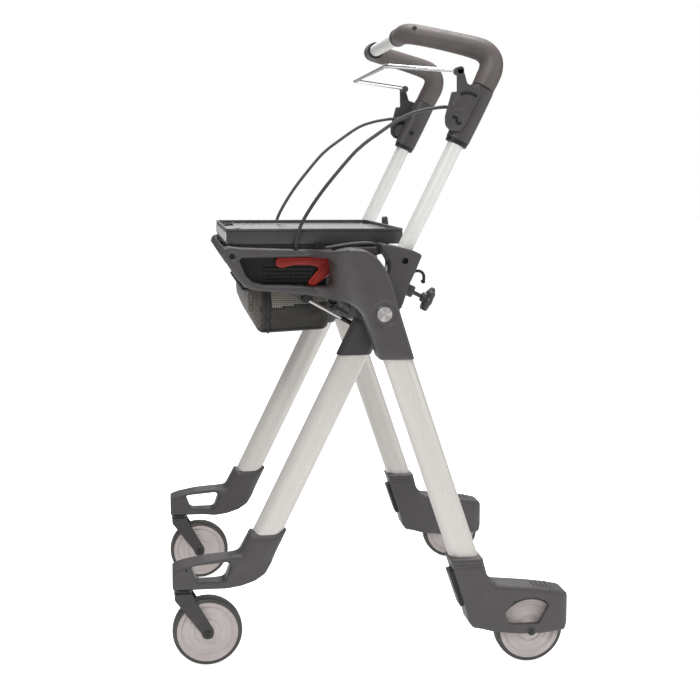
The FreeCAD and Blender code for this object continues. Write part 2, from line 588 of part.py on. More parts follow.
HANDLE_LOW = 256.0
HANDLE_TOP = 343.0
LEVER_X = 119.0
LEVER_Z = 771.0
lever_house = oval_bar(33.0, 26.0, leg_base, FRONT_LEAN, HANDLE_LOW, HANDLE_TOP)
lever_ear = y_cylinder(LEVER_X, LEVER_Z, 186.0, 202.0, 10.0)
CABLE_START_X = 123.5
CABLE_START_Z = 790.6
CABLE_START_Y = 194.0
ferrule = Part.makeCylinder(4.4, 12.0, Vector(121.0, CABLE_START_Y, CABLE_START_Z), Vector(1, 0, 0))
lever_house = fused([lever_house, lever_ear, ferrule])
lever_house = lever_house.cut(rod(on_front(HANDLE_LOW - 1), on_front(TUBE_TOP), TUBE_R))
LEVER_PIN_R = 3.0
lever_house = lever_house.cut(y_cylinder(LEVER_X, LEVER_Z, 190.0, 220.0, LEVER_PIN_R))
lever_house = lever_house.cut(
    Part.makeCylinder(CABLE_R + 0.7, CABLE_START_X - 109.0, Vector(110.0, CABLE_START_Y, CABLE_START_Z),
                      Vector(1, 0, 0)))
save_pair("lever_housing", lever_house)
housing_screw = y_cylinder(134.0, 767.0, 174.4, 176.0, 3.6)
save_both("housing_screws", housing_screw)

CROSS_X = 57.5
CROSS_Z = 894.6
GRIP_END_Y = 95.0
grip_path = [
    (160.37, 189.0, 818.29, 16.2), (166.5, 187.6, 830.5, 16.9), (172.3, 184.8, 843.5, 17.1),
    (173.0, 181.5, 857.0, 16.6), (164.5, 178.3, 868.5, 16.0), (150.0, 174.2, 874.6, 15.3),
    (130.0, 168.5, 880.0, 14.6), (108.0, 161.8, 885.4, 14.2), (86.0, 154.6, 890.3, 14.0),
    (69.0, 146.4, 894.0, 14.2), (59.5, 134.5, 895.3, 14.0), (57.5, 119.0, 894.8, 13.2),
    (CROSS_X, 106.0, CROSS_Z, 12.6), (CROSS_X, GRIP_END_Y, CROSS_Z, 12.2)]
grip = lofted_grip(grip_path)
grip = grip.cut(halfspace_box(-50, 100, 40, GRIP_END_Y, 850, 950))
grip = grip.cut(oval_bar(90.0, 60.0, leg_base, FRONT_LEAN, 300.0, HANDLE_TOP))
CROSS_IN = 112.0
grip = grip.cut(y_cylinder(CROSS_X, CROSS_Z, GRIP_END_Y - 10, CROSS_IN, CROSS_TUBE_R))
save_pair("grip", grip)
cross_tube = ring(CROSS_X, CROSS_Z, -CROSS_IN, CROSS_IN, CROSS_TUBE_R, CROSS_TUBE_R - 1.5)
save("cross_tube", [cross_tube])

# Brake levers and the wire loop that joins them under the grips.
LEVER_Y0 = 202.6
LEVER_Y1 = 206.4
LOOP_R = 3.0
LOOP_END = (124.0, 188.0, 840.5)
LOOP_CORNER = (30.5, 144.0, 850.0)
brake_lever = plate(
    [(103.5, 764, 9), (112, 757.5, 8), (127, 758.5, 8), (152.5, 811, 4), (150, 817.5, 3), (133, 821, 4),
     (129.8, 842, 5.5), (124, 847, 5.5), (118.2, 842, 5.5), (118.0, 809.5, 1.5), (111.5, 811, 3),
     (103, 776, 10)], LEVER_Y0, LEVER_Y1)
brake_lever = brake_lever.cut(plate(
    [(124.5, 806.5, 2), (136, 805.5, 40), (149, 802.5, 2), (150, 806.5, 2), (136.5, 810, 40), (125, 811, 2)],
    195, 215))
brake_lever = soft_edges(brake_lever, 0.8, [LEVER_Y1])
loop_seat = y_cylinder(124, 840.5, 183.0, LEVER_Y0 + 1.0, 5.0)
brake_lever = fused([brake_lever, loop_seat])
brake_lever = brake_lever.cut(y_cylinder(LEVER_X, LEVER_Z, 195, 215, LEVER_PIN_R + 0.05))
loop = bent_bar([LOOP_END, LOOP_CORNER, (LOOP_CORNER[0], -LOOP_CORNER[1], LOOP_CORNER[2]),
                 (LOOP_END[0], -LOOP_END[1], LOOP_END[2])], LOOP_R, 11.0)
seats = [loop_seat, mirrored(loop_seat)]
loop = loop.cut(seats[0]).cut(seats[1])
loop = max(loop.Solids, key=lambda solid: solid.Volume)
save_pair("brake_lever", brake_lever)
save("brake_loop", [loop])
lever_pin = y_cylinder(LEVER_X, LEVER_Z, 190.0, LEVER_Y1 + 0.4, LEVER_PIN_R)
lever_pin = lever_pin.fuse(y_cylinder(LEVER_X, LEVER_Z, LEVER_Y1 + 0.2, LEVER_Y1 + 2.4, 6.2))
lever_pin = lever_pin.cut(halfspace_box(113, 125, LEVER_Y1 + 1.6, LEVER_Y1 + 5, 770.3, 771.7))
save_both("lever_screws", lever_pin)

# Brake cables, from the lever housing down to the port in the arm.
cable = smooth_tube(
    [(CABLE_START_X, CABLE_START_Y, CABLE_START_Z), (117, 194, 791), (108, 194, 791), (90, 193.6, 789), (70, 193, 785.3),
     (45, 191.8, 775.5), (10, 189, 752), (-28, 184.8, 718), (-62, 179.6, 675), (-88, 173.0, 636),
     (-98.5, 169.6, 613), (CABLE_X, CABLE_Y, 597), (CABLE_X, CABLE_Y, 588)], CABLE_R)
save_both("brake_cables", cable)

# Star knob of the height clamp.
knob = rod(on_front(CLAMP_ALONG, 57.5), on_front(CLAMP_ALONG, 67.5), 17.0)
LOBES = 7
for i in range(LOBES):
    turn = Rotation(FRONT_CROSS, i * 360.0 / LOBES)
    offset = turn.multVec(FRONT_DIR * 20.5)
    knob = knob.cut(rod(on_front(CLAMP_ALONG, 50) + offset, on_front(CLAMP_ALONG, 75) + offset, 6.2))
knob = fused([knob, rod(on_front(CLAMP_ALONG, 40), on_front(CLAMP_ALONG, 60), 8.0),
              rod(on_front(CLAMP_ALONG, 11.4), on_front(CLAMP_ALONG, 42), CLAMP_SCREW_R)])
save_pair("clamp_knob", knob)

# ==== casters ====
CASTER_Y = ARM_MID
FORK_INNER = 13.6
FORK_OUTER = 17.2
blade_side = plate(
    [(-279, 109, 2), (-255, 109, 2), (-252, 103, 8), (-224.2, 54, 9), (-225, 41.8, 8), (-239, 41, 8),
     (-243, 52, 10), (-274, 94, 8), (-279, 101, 6)], CASTER_Y + FORK_INNER, CASTER_Y + FORK_OUTER)
blade_side = soft_edges(blade_side, 1.2, [CASTER_Y + FORK_OUTER])
other_side = blade_side.mirror(Vector(0, CASTER_Y, 0), Y_AXIS)
crown = halfspace_box(-278, -256, CASTER_Y - 14, CASTER_Y + 14, 102.5, 108.5)
stem = Part.makeCylinder(KINGPIN_R, KING_TOP - 104, Vector(KINGPIN_X, CASTER_Y, 104))
race = Part.makeCylinder(12.5, FORK_TOP - 105, Vector(KINGPIN_X, CASTER_Y, 105))
fork = fused([blade_side, other_side, crown, stem, race])
fork = fork.cut(y_cylinder(FRONT_AXLE_X, WHEEL_R, 100, 260, AXLE_R))
save_pair("caster_fork", fork)
front_axle = y_cylinder(FRONT_AXLE_X, WHEEL_R, CASTER_Y - FORK_OUTER, CASTER_Y + FORK_OUTER, AXLE_R)
front_axle = fused([front_axle,
                    y_cylinder(FRONT_AXLE_X, WHEEL_R, CASTER_Y + FORK_OUTER, CASTER_Y + FORK_OUTER + 2, 4.4),
                    y_cylinder(FRONT_AXLE_X, WHEEL_R, CASTER_Y - FORK_OUTER - 2, CASTER_Y - FORK_OUTER, 4.4)])
save_pair("front_axle", front_axle)


def turned(profile, x, y, z):
    """Solid of revolution about the axle; profile is (radius, offset along the axle)."""
    points = [Vector(x + r, y + w, z) for r, w in profile]
    face = Part.Face(Part.makePolygon(points + [points[0]]))
    return face.revolve(Vector(x, y, z), Y_AXIS, 360)


def wheel_core(x, y):
    half = [(12.0, 12.9), (13.5, 10.5), (18.0, 8.8), (21.0, 9.6), (24.0, 8.6), (35.0, 6.4), (38.5, 9.8),
            (TYRE_INNER_R, 11.0)]
    bore = AXLE_R + AXLE_CLEAR
    profile = [(bore, 12.9)] + half
    profile += [(r, -w) for r, w in reversed(half)] + [(bore, -12.9)]
    return turned(profile, x, y, WHEEL_R)


def tyre(x, y):
    half = [(TYRE_INNER_R, 11.3), (45.0, TYRE_W / 2), (47.2, 11.6), (48.8, 10.0), (49.6, 7.0), (WHEEL_R, 3.0)]
    return turned(half + [(r, -w) for r, w in reversed(half)], x, y, WHEEL_R)


save_pair("front_wheel", wheel_core(FRONT_AXLE_X, CASTER_Y))
save_pair("front_tyre", tyre(FRONT_AXLE_X, CASTER_Y))
save_pair("rear_wheel", wheel_core(REAR_AXLE_X, REAR_WHEEL_Y))
save_pair("rear_tyre", tyre(REAR_AXLE_X, REAR_WHEEL_Y))
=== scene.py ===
import math
import bpy
import bmesh
import numpy as np
from mathutils import Matrix, Vector, noise
from mathutils.geometry import delaunay_2d_cdt


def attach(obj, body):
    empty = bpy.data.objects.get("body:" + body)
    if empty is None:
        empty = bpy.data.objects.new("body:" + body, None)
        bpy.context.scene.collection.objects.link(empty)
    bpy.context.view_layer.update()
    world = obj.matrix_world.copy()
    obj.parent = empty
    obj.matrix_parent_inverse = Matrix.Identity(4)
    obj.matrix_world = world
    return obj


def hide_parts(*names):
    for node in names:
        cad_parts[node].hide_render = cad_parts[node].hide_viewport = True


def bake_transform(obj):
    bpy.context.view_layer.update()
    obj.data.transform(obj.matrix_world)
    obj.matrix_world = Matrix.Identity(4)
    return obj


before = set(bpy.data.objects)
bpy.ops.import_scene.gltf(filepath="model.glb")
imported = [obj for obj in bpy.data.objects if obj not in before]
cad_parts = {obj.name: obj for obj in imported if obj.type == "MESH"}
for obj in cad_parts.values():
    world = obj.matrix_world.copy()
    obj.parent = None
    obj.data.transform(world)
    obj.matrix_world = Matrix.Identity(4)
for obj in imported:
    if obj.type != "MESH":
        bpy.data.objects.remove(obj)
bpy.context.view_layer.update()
MM = 0.001
SIDES = {"left": -1.0, "right": 1.0}


# ---- materials
def srgb(r, g, b):
    """Scene-linear colour for a display colour."""
    def lin(c):
        return c / 12.92 if c <= 0.04045 else ((c + 0.055) / 1.055) ** 2.4
    return (lin(r), lin(g), lin(b), 1.0)


NOISE_LOW, NOISE_HIGH = 0.3, 0.7
MOULD_GRAIN_HEIGHT, BRUSH_LINE_HEIGHT, THREAD_HEIGHT = 0.00012, 0.00005, 0.0004


class Look:
    """One procedural material: a principled surface with mottled colour, uneven gloss and fine relief."""

    def __init__(self, name, color, metal=0.0, coat=0.0, sheen=0.0):
        self.mat = bpy.data.materials.new(name)
        self.mat.use_nodes = True
        self.nodes = self.mat.node_tree.nodes
        self.links = self.mat.node_tree.links
        self.bsdf = self.nodes["Principled BSDF"]
        self.bsdf.inputs["Metallic"].default_value = metal
        self.bsdf.inputs["Coat Weight"].default_value = coat
        self.bsdf.inputs["Coat Roughness"].default_value = 0.15
        self.bsdf.inputs["Sheen Weight"].default_value = sheen
        self.coord = self.nodes.new("ShaderNodeTexCoord")
        self.color = color

    def noise(self, scale, detail=3.0, stretch=None, seed=0.0):
        out = self.coord.outputs["Object"]
        if stretch or seed:
            mapping = self.nodes.new("ShaderNodeMapping")
            mapping.inputs["Scale"].default_value = stretch or (1, 1, 1)
            mapping.inputs["Location"].default_value = (seed, seed, seed)
            self.links.new(out, mapping.inputs["Vector"])
            out = mapping.outputs["Vector"]
        tex = self.nodes.new("ShaderNodeTexNoise")
        tex.inputs["Scale"].default_value = scale
        tex.inputs["Detail"].default_value = detail
        self.links.new(out, tex.inputs["Vector"])
        return tex.outputs["Fac"]

    def spread(self, fac, low, high):
        """Stretches the middle of a noise mask over low to high."""
        stretch = self.nodes.new("ShaderNodeMapRange")
        stretch.inputs["From Min"].default_value = NOISE_LOW
        stretch.inputs["From Max"].default_value = NOISE_HIGH
        stretch.inputs["To Min"].default_value = low
        stretch.inputs["To Max"].default_value = high
        self.links.new(fac, stretch.inputs["Value"])
        return stretch.outputs["Result"]

    def tint(self, fac, low, high):
        """Colour runs from low to high multiples of the base colour over the mask."""
        scaled = self.nodes.new("ShaderNodeVectorMath")
        scaled.operation = "SCALE"
        scaled.inputs[0].default_value = self.color[:3]
        self.links.new(self.spread(fac, low, high), scaled.inputs["Scale"])
        self.links.new(scaled.outputs["Vector"], self.bsdf.inputs["Base Color"])

    def gloss(self, fac, low, high):
        """Roughness runs from low to high over the mask."""
        self.links.new(self.spread(fac, low, high), self.bsdf.inputs["Roughness"])

    def emboss(self, fac, strength, distance):
        """Fine surface relief that follows the mask; distance is its height in metres."""
        bump = self.nodes.new("ShaderNodeBump")
        bump.inputs["Strength"].default_value = strength
        bump.inputs["Distance"].default_value = distance
        self.links.new(fac, bump.inputs["Height"])
        self.links.new(bump.outputs["Normal"], self.bsdf.inputs["Normal"])


def moulded(name, color, rough, grain=2600.0, coat=0.0, relief=0.25):
    """Moulded plastic or powder-coated casting with a fine grain."""
    look = Look(name, color, coat=coat)
    look.tint(look.noise(38.0, 4.0), 0.93, 1.06)
    look.gloss(look.noise(90.0, 3.0, seed=3.1), rough - 0.06, rough + 0.07)
    look.emboss(look.noise(grain, 2.0, seed=7.7), relief, MOULD_GRAIN_HEIGHT)
    return look.mat


def brushed(name, color, rough, metal, stretch, grain=900.0, relief=0.12):
    """Anodised, painted or polished metal with drawn streaks; stretch sets which way they run."""
    look = Look(name, color, metal)
    streak = look.noise(grain, 2.0, stretch)
    look.tint(streak, 0.95, 1.04)
    look.gloss(look.noise(60.0, 4.0, seed=1.3), rough - 0.05, rough + 0.08)
    look.emboss(streak, relief, BRUSH_LINE_HEIGHT)
    return look.mat


CASTING = moulded("casting_grey", srgb(0.3, 0.286, 0.29), 0.42)
SOCKET = moulded("socket_black", srgb(0.24, 0.228, 0.232), 0.44)
HOUSING = moulded("housing_grey", srgb(0.27, 0.258, 0.262), 0.4)
GRIP = moulded("grip_rubber", srgb(0.37, 0.345, 0.335), 0.52, 1900.0, relief=0.35)
BLACK = moulded("trim_black", srgb(0.12, 0.118, 0.118), 0.4)
WHEEL = moulded("wheel_grey", srgb(0.78, 0.745, 0.735), 0.45, 2000.0, relief=0.15)
TYRE = moulded("tyre_grey", srgb(0.29, 0.282, 0.276), 0.5, 1500.0)
PAD = moulded("pad_rubber", srgb(0.15, 0.145, 0.145), 0.7, 1300.0)
CABLE = moulded("cable_sheath", srgb(0.25, 0.245, 0.25), 0.4, 1800.0)
RED = moulded("lever_red", srgb(0.72, 0.15, 0.085), 0.34, 2200.0, coat=0.3, relief=0.12)
SLEEVE = moulded("sleeve_white", srgb(0.86, 0.85, 0.83), 0.35)
TRAY = moulded("tray_charcoal", srgb(0.265, 0.255, 0.26), 0.34, 2400.0, coat=0.1, relief=0.15)
# Painted reflection: the tray's charcoal made lighter on its floor, for the light its top catches and the bright
# backdrop it mirrors.
TRAY_FLOOR_SHEEN = moulded("tray_floor", srgb(0.42, 0.415, 0.42), 0.3, 2400.0, coat=0.3, relief=0.03)
# Painted shade: a near-black colour laid into holes, slots and recesses, where only shade falls.
RECESS_SHADE = moulded("recess_dark", srgb(0.07, 0.068, 0.068), 0.8)
# Painted highlight: near-white, for the tray's front face where it catches strong light.
FRONT_HIGHLIGHT = moulded("pale_panel", srgb(0.93, 0.93, 0.93), 0.25, 2400.0, coat=0.3, relief=0.1)
LEG = brushed("leg_silver", srgb(0.86, 0.845, 0.825), 0.4, 0.25, (1, 1, 0.06))
TUBE = brushed("tube_white", srgb(0.93, 0.925, 0.915), 0.4, 0.1, (1, 1, 0.06), relief=0.06)
STEEL = brushed("stainless", srgb(0.78, 0.77, 0.76), 0.28, 1.0, (1, 1, 0.1))
CHROME = brushed("chrome_wire", srgb(0.9, 0.9, 0.9), 0.1, 1.0, (1, 1, 1), 300.0, 0.02)


def woven(name, color, rough, pitch, open_share=0.0, hole=(0.03, 0.03, 0.03, 1.0)):
    """Cloth: crossed threads in relief, and for net an open hole at each crossing, filled with a flat darker
    colour for the bag's inside seen through it, partly its cloth and partly painted shade.
    """
    look = Look(name, color, sheen=0.3)
    split = look.nodes.new("ShaderNodeSeparateXYZ")
    look.links.new(look.coord.outputs["Object"], split.inputs["Vector"])

    def math_node(operation, a, b=None):
        node = look.nodes.new("ShaderNodeMath")
        node.operation = operation
        for socket, value in zip(node.inputs, (a, b)):
            if isinstance(value, float):
                socket.default_value = value
            elif value is not None:
                look.links.new(value, socket)
        return node.outputs[0]

    along = math_node("MULTIPLY", math_node("ADD", split.outputs["X"], split.outputs["Y"]), math.pi / pitch)
    up = math_node("MULTIPLY", split.outputs["Z"], math.pi / pitch)
    threads = math_node("MULTIPLY", math_node("SINE", along), math_node("SINE", up))
    look.tint(look.noise(26.0, 5.0), 0.8, 1.15)
    look.gloss(look.noise(120.0, 3.0, seed=2.2), rough - 0.06, rough + 0.08)
    look.emboss(threads, 0.5, THREAD_HEIGHT)
    # Holes: the given flat colour for the bag's inside seen through the net, partly its cloth and partly painted
    # shade.
    if open_share > 0.0:
        mask = math_node("GREATER_THAN", math_node("ABSOLUTE", threads), 1.0 - open_share)
        mix = look.nodes.new("ShaderNodeMix")
        mix.data_type = "RGBA"
        painted = look.bsdf.inputs["Base Color"].links[0].from_socket
        look.links.new(mask, mix.inputs["Factor"])
        look.links.new(painted, mix.inputs["A"])
        mix.inputs["B"].default_value = hole
        look.links.new(mix.outputs["Result"], look.bsdf.inputs["Base Color"])
    return look.mat


FABRIC = woven("basket_cloth", srgb(0.235, 0.225, 0.21), 0.85, 0.0012)
BINDING = woven("basket_binding", srgb(0.15, 0.145, 0.14), 0.8, 0.0016)
# The last colour of each net is its holes: the bag's inside seen through them, partly cloth and partly painted
# shade.
MESH_LIGHT = woven("basket_net_side", srgb(0.6, 0.585, 0.55), 0.8, 0.0026, 0.55, srgb(0.3, 0.29, 0.27))
MESH_FRONT = woven("basket_net_front", srgb(0.4, 0.37, 0.34), 0.8, 0.0026, 0.55, srgb(0.25, 0.23, 0.21))


def turned_steel(name, centre):
    """Stainless face turned about a pivot: streaks that fan out from the centre, partly grain and partly painted
    highlight standing in for the cross-shaped sheen of turned steel.
    """
    look = Look(name, srgb(0.84, 0.83, 0.82), 0.7)
    shift = look.nodes.new("ShaderNodeVectorMath")
    shift.operation = "SUBTRACT"
    shift.inputs[1].default_value = centre
    flatten = look.nodes.new("ShaderNodeVectorMath")
    flatten.operation = "MULTIPLY"
    flatten.inputs[1].default_value = (1.0, 0.0, 1.0)
    unit = look.nodes.new("ShaderNodeVectorMath")
    unit.operation = "NORMALIZE"
    fan = look.nodes.new("ShaderNodeTexNoise")
    fan.inputs["Scale"].default_value = 1.6
    fan.inputs["Detail"].default_value = 2.0
    look.links.new(look.coord.outputs["Object"], shift.inputs[0])
    look.links.new(shift.outputs["Vector"], flatten.inputs[0])
    look.links.new(flatten.outputs["Vector"], unit.inputs[0])
    look.links.new(unit.outputs["Vector"], fan.inputs["Vector"])
    # Partly grain, partly painted highlight: brighter and darker sectors round the pivot for the sheen of turned
    # steel.
    look.tint(fan.outputs["Fac"], 0.6, 1.3)
    look.gloss(look.noise(500.0, 2.0), 0.2, 0.32)
    return look.mat


PIVOT_STEEL = turned_steel("pivot_steel", (0.01, 0.0, 0.51))

NODE_LOOKS = [
    (LEG, "front_leg rear_leg"), (SOCKET, "front_socket caster_fork"), (SLEEVE, "guide_sleeves"),
    (CASTING, "front_hub caster_arm side_arm rear_housing"), (HOUSING, "lever_housing brake_lever"),
    (TUBE, "main_cross_tube upper_tube cross_tube"), (PIVOT_STEEL, "pivot_bolts"), (GRIP, "grip"),
    (CABLE, "brake_cables"), (CHROME, "brake_loop"), (WHEEL, "front_wheel rear_wheel"), (STEEL, "fold_strut"),
    (TYRE, "front_tyre rear_tyre"), (PAD, "brake_shoe"), (TRAY, "tray"), (RED, "latch_lever"),
    (BLACK, "bag_hooks strut_guides adjuster_covers rear_axles carry_bar strut_pins tray_rails basket_frame"
            " basket_body side_panels housing_screws lever_screws front_axle clamp_knob")]
LOOK_OF = {name: look for look, names in NODE_LOOKS for name in names.split()}

for node_name, node_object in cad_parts.items():
    base = node_name.replace("_left", "").replace("_right", "")
    node_object.data.materials.clear()
    node_object.data.materials.append(LOOK_OF[base])


# ---- shape tools (millimetres in, metres out)
def rounded_corner(here, before, after, radius, room=math.inf, per=None):
    """Points along the arc that rounds a corner; room limits its reach along each side."""
    back, ahead = before - here, after - here
    back, ahead = back / np.linalg.norm(back), ahead / np.linalg.norm(ahead)
    angle = math.acos(float(np.clip(back @ ahead, -1, 1)))
    if radius < 0.05 or angle > math.pi - 1e-3:
        return [here]
    setback = min(radius / math.tan(angle / 2), room)
    middle = (back + ahead) / np.linalg.norm(back + ahead)
    centre = here + middle * setback / math.cos(angle / 2)
    start, stop = here + back * setback - centre, here + ahead * setback - centre
    sweep = math.pi - angle
    count = per or max(3, int(sweep / 0.22))
    turns = [sweep * k / count for k in range(count + 1)]
    return [centre + (math.sin(sweep - t) * start + math.sin(t) * stop) / math.sin(sweep) for t in turns]


def outline(corners, step=2.5):
    """Points round a closed outline in the side view; each corner is (x, z, radius)."""
    spots = [np.array(c[:2], float) for c in corners]
    points = []
    for i, here in enumerate(spots):
        before, after = spots[i - 1], spots[(i + 1) % len(spots)]
        room = 0.48 * min(np.linalg.norm(before - here), np.linalg.norm(after - here))
        points += rounded_corner(here, before, after, corners[i][2], room)
    dense = []
    for i, here in enumerate(points):
        following = points[(i + 1) % len(points)]
        gap = np.linalg.norm(following - here)
        if gap < 0.15:
            continue
        pieces = max(1, int(math.ceil(gap / step)))
        dense += [here + (following - here) * k / pieces for k in range(pieces)]
    return np.array(dense)


def circle(x, z, radius, count=28):
    """Points round a circle in the side view."""
    turns = np.arange(count) * 2 * math.pi / count
    return np.stack([x + radius * np.cos(turns), z + radius * np.sin(turns)], 1)


def edge_distance(points, loops):
    """Distance from each point to the nearest edge of any loop."""
    best = np.full(len(points), 1e9)
    for loop in loops:
        a, b = loop, np.roll(loop, -1, 0)
        run = b - a
        length = (run ** 2).sum(1)
        for i in range(len(a)):
            t = np.clip(((points - a[i]) @ run[i]) / length[i], 0, 1)
            gap = points - (a[i] + t[:, None] * run[i])
            best = np.minimum(best, np.sqrt((gap ** 2).sum(1)))
    return best


def inside(points, loops):
    """True where a point is in the first loop and in none of the others."""
    answer = np.zeros(len(points), bool)
    for loop in loops:
        a, b = loop, np.roll(loop, -1, 0)
        for i in range(len(a)):
            crosses = (a[i, 1] > points[:, 1]) != (b[i, 1] > points[:, 1])
            with np.errstate(divide="ignore", invalid="ignore"):
                at = (b[i, 0] - a[i, 0]) * (points[:, 1] - a[i, 1]) / (b[i, 1] - a[i, 1]) + a[i, 0]
            answer ^= crosses & (points[:, 0] < at)
    return answer


def mesh_object(name, verts, faces, mat):
    """Mesh object with outward normals and smooth faces; verts are in metres."""
    mesh = bpy.data.meshes.new(name)
    mesh.from_pydata([tuple(v) for v in verts], [], faces)
    mesh.validate()
    mesh.update()
    bm = bmesh.new()
    bm.from_mesh(mesh)
    bmesh.ops.recalc_face_normals(bm, faces=bm.faces)
    bm.to_mesh(mesh)
    bm.free()
    mesh.polygons.foreach_set("use_smooth", [True] * len(mesh.polygons))
    mesh.materials.append(mat)
    obj = bpy.data.objects.new(name, mesh)
    bpy.context.scene.collection.objects.link(obj)
    return obj


RIM_TURNS = (25.0, 48.0, 70.0, 90.0)
WIDEST_RIM_GAP = 5.0
CLEAR_OF_EDGE = 1.2


def relief(name, mat, loops, y_out, y_in, rim=2.5, grid=6.0, extra=(), walls=3):
    """Closed solid between two height fields over an outline with holes, its rims rounded.
    loops are outlines in (x, z); y_out and y_in take arrays of x and z and give the two faces."""
    rim_at = rim if callable(rim) else lambda x, z: np.full(np.shape(x), float(rim))
    flat = np.concatenate(loops)
    edges = []
    start = 0
    for loop in loops:
        edges += [(start + i, start + (i + 1) % len(loop)) for i in range(len(loop))]
        start += len(loop)
    cloud = [flat]
    for loop in loops:
        along = np.roll(loop, -1, 0) - np.roll(loop, 1, 0)
        along /= np.linalg.norm(along, axis=1)[:, None]
        normal = np.stack([-along[:, 1], along[:, 0]], 1)
        reach = rim_at(loop[:, 0], loop[:, 1])
        for turn in RIM_TURNS:
            depth = reach * (1 - math.cos(math.radians(turn)))
            for sign in (1.0, -1.0):
                spots = loop + normal * depth[:, None] * sign
                good = inside(spots, loops) & (edge_distance(spots, loops) > depth * 0.985)
                cloud.append(spots[good])
    low, high = flat.min(0), flat.max(0)
    xs = np.arange(low[0], high[0] + grid, grid)
    zs = np.arange(low[1], high[1] + grid, grid)
    gx, gz = np.meshgrid(xs, zs)
    spots = np.stack([gx.ravel(), gz.ravel()], 1)
    near_rim = np.minimum(rim_at(spots[:, 0], spots[:, 1]), WIDEST_RIM_GAP)
    good = inside(spots, loops) & (edge_distance(spots, loops) > near_rim + 0.4 * grid)
    cloud.append(spots[good])
    for loop in extra:
        cloud.append(loop[inside(loop, loops) & (edge_distance(loop, loops) > CLEAR_OF_EDGE)])
    cloud = np.concatenate(cloud)
    out = delaunay_2d_cdt([Vector(p) for p in cloud], edges, [], 0, 1e-4)
    spots = np.array([tuple(v) for v in out[0]])
    faces = np.array([f for f in out[2] if len(f) == 3])
    faces = faces[inside(spots[faces].mean(1), loops)]
    used = np.unique(faces)
    index = np.full(len(spots), -1)
    index[used] = np.arange(len(used))
    spots, faces = spots[used], index[faces]
    depth = np.clip(edge_distance(spots, loops), 0, None)
    top, low_y = y_out(spots[:, 0], spots[:, 1]), y_in(spots[:, 0], spots[:, 1])
    local = np.minimum(rim_at(spots[:, 0], spots[:, 1]), 0.49 * np.maximum(top - low_y, 0.2))
    inward = np.clip(depth / local, 0, 1)
    drop = local * (1 - np.sqrt(np.clip(1 - (1 - inward) ** 2, 0, 1)))
    front = np.stack([spots[:, 0], top - drop, spots[:, 1]], 1)
    rear = np.stack([spots[:, 0], low_y + drop, spots[:, 1]], 1)
    verts = np.concatenate([front, rear])
    count = len(spots)
    all_faces = [tuple(f) for f in faces] + [tuple(f[::-1] + count) for f in faces]
    seen = {}
    for f in faces:
        for i in range(3):
            pair = (int(f[i]), int(f[(i + 1) % 3]))
            seen[pair] = seen.get(pair, 0) + 1
    border = [pair for pair in seen if (pair[1], pair[0]) not in seen]
    rungs = {}
    extra_verts = []
    for i in sorted({i for pair in border for i in pair}):
        steps = [i]
        for k in range(1, walls):
            extra_verts.append(front[i] + (rear[i] - front[i]) * k / walls)
            steps.append(2 * count + len(extra_verts) - 1)
        rungs[i] = steps + [i + count]
    for i, j in border:
        for k in range(walls):
            all_faces.append((rungs[j][k], rungs[i][k], rungs[i][k + 1], rungs[j][k + 1]))
    if extra_verts:
        verts = np.concatenate([verts, np.array(extra_verts)])
    return mesh_object(name, verts * MM, all_faces, mat)


def flip_side(obj):
    """Mirrors a finished right-hand mesh to the left."""
    obj.data.transform(Matrix.Diagonal((1, -1, 1, 1)))
    obj.data.flip_normals()
    return obj


def join(objects, name):
    """Joins mesh objects into the first one, keeping each one's materials."""
    mesh = bmesh.new()
    mats = []
    for obj in objects:
        offset = []
        for mat in obj.data.materials:
            if mat not in mats:
                mats.append(mat)
            offset.append(mats.index(mat))
        first = len(mesh.faces)
        mesh.from_mesh(obj.data)
        mesh.faces.ensure_lookup_table()
        for face in mesh.faces[first:]:
            face.material_index = offset[face.material_index]
    data = bpy.data.meshes.new(name)
    mesh.to_mesh(data)
    mesh.free()
    for mat in mats:
        data.materials.append(mat)
    for obj in objects:
        bpy.data.objects.remove(obj)
    whole = bpy.data.objects.new(name, data)
    bpy.context.scene.collection.objects.link(whole)
    return whole


def cut(obj, *cutters):
    """Boolean difference, applied; the cutters are deleted."""
    for cutter in cutters:
        change = obj.modifiers.new("cut", "BOOLEAN")
        change.operation = "DIFFERENCE"
        change.solver = "EXACT"
        change.object = cutter
    done = bpy.data.meshes.new_from_object(obj.evaluated_get(bpy.context.evaluated_depsgraph_get()))
    obj.modifiers.clear()
    obj.data = done
    for cutter in cutters:
        bpy.data.objects.remove(cutter)
    smooth_by_angle(obj, 32.0)
    return obj


def smooth_by_angle(obj, degrees):
    """Smooth shading, with sharp edges where faces meet at more than this angle."""
    obj.data.polygons.foreach_set("use_smooth", [True] * len(obj.data.polygons))
    obj.data.set_sharp_from_angle(angle=math.radians(degrees))


def level(y):
    """Flat face for relief()."""
    return lambda x, z: np.full(np.shape(x), float(y))


def ramp(value, low, high):
    """Eased step from 0 at low to 1 at high."""
    t = np.clip((value - low) / (high - low), 0, 1)
    return t * t * (3 - 2 * t)


def loft(name, mat, rings):
    """Skin over equal-length rings of 3-D points, capped at both ends."""
    rings = [np.array(r, float) for r in rings]
    n = len(rings[0])
    verts = np.concatenate(rings)
    faces = []
    for r in range(len(rings) - 1):
        for i in range(n):
            j = (i + 1) % n
            faces.append((r * n + i, r * n + j, (r + 1) * n + j, (r + 1) * n + i))
    faces.append(tuple(range(n))[::-1])
    faces.append(tuple((len(rings) - 1) * n + i for i in range(n)))
    return mesh_object(name, verts * MM, faces, mat)


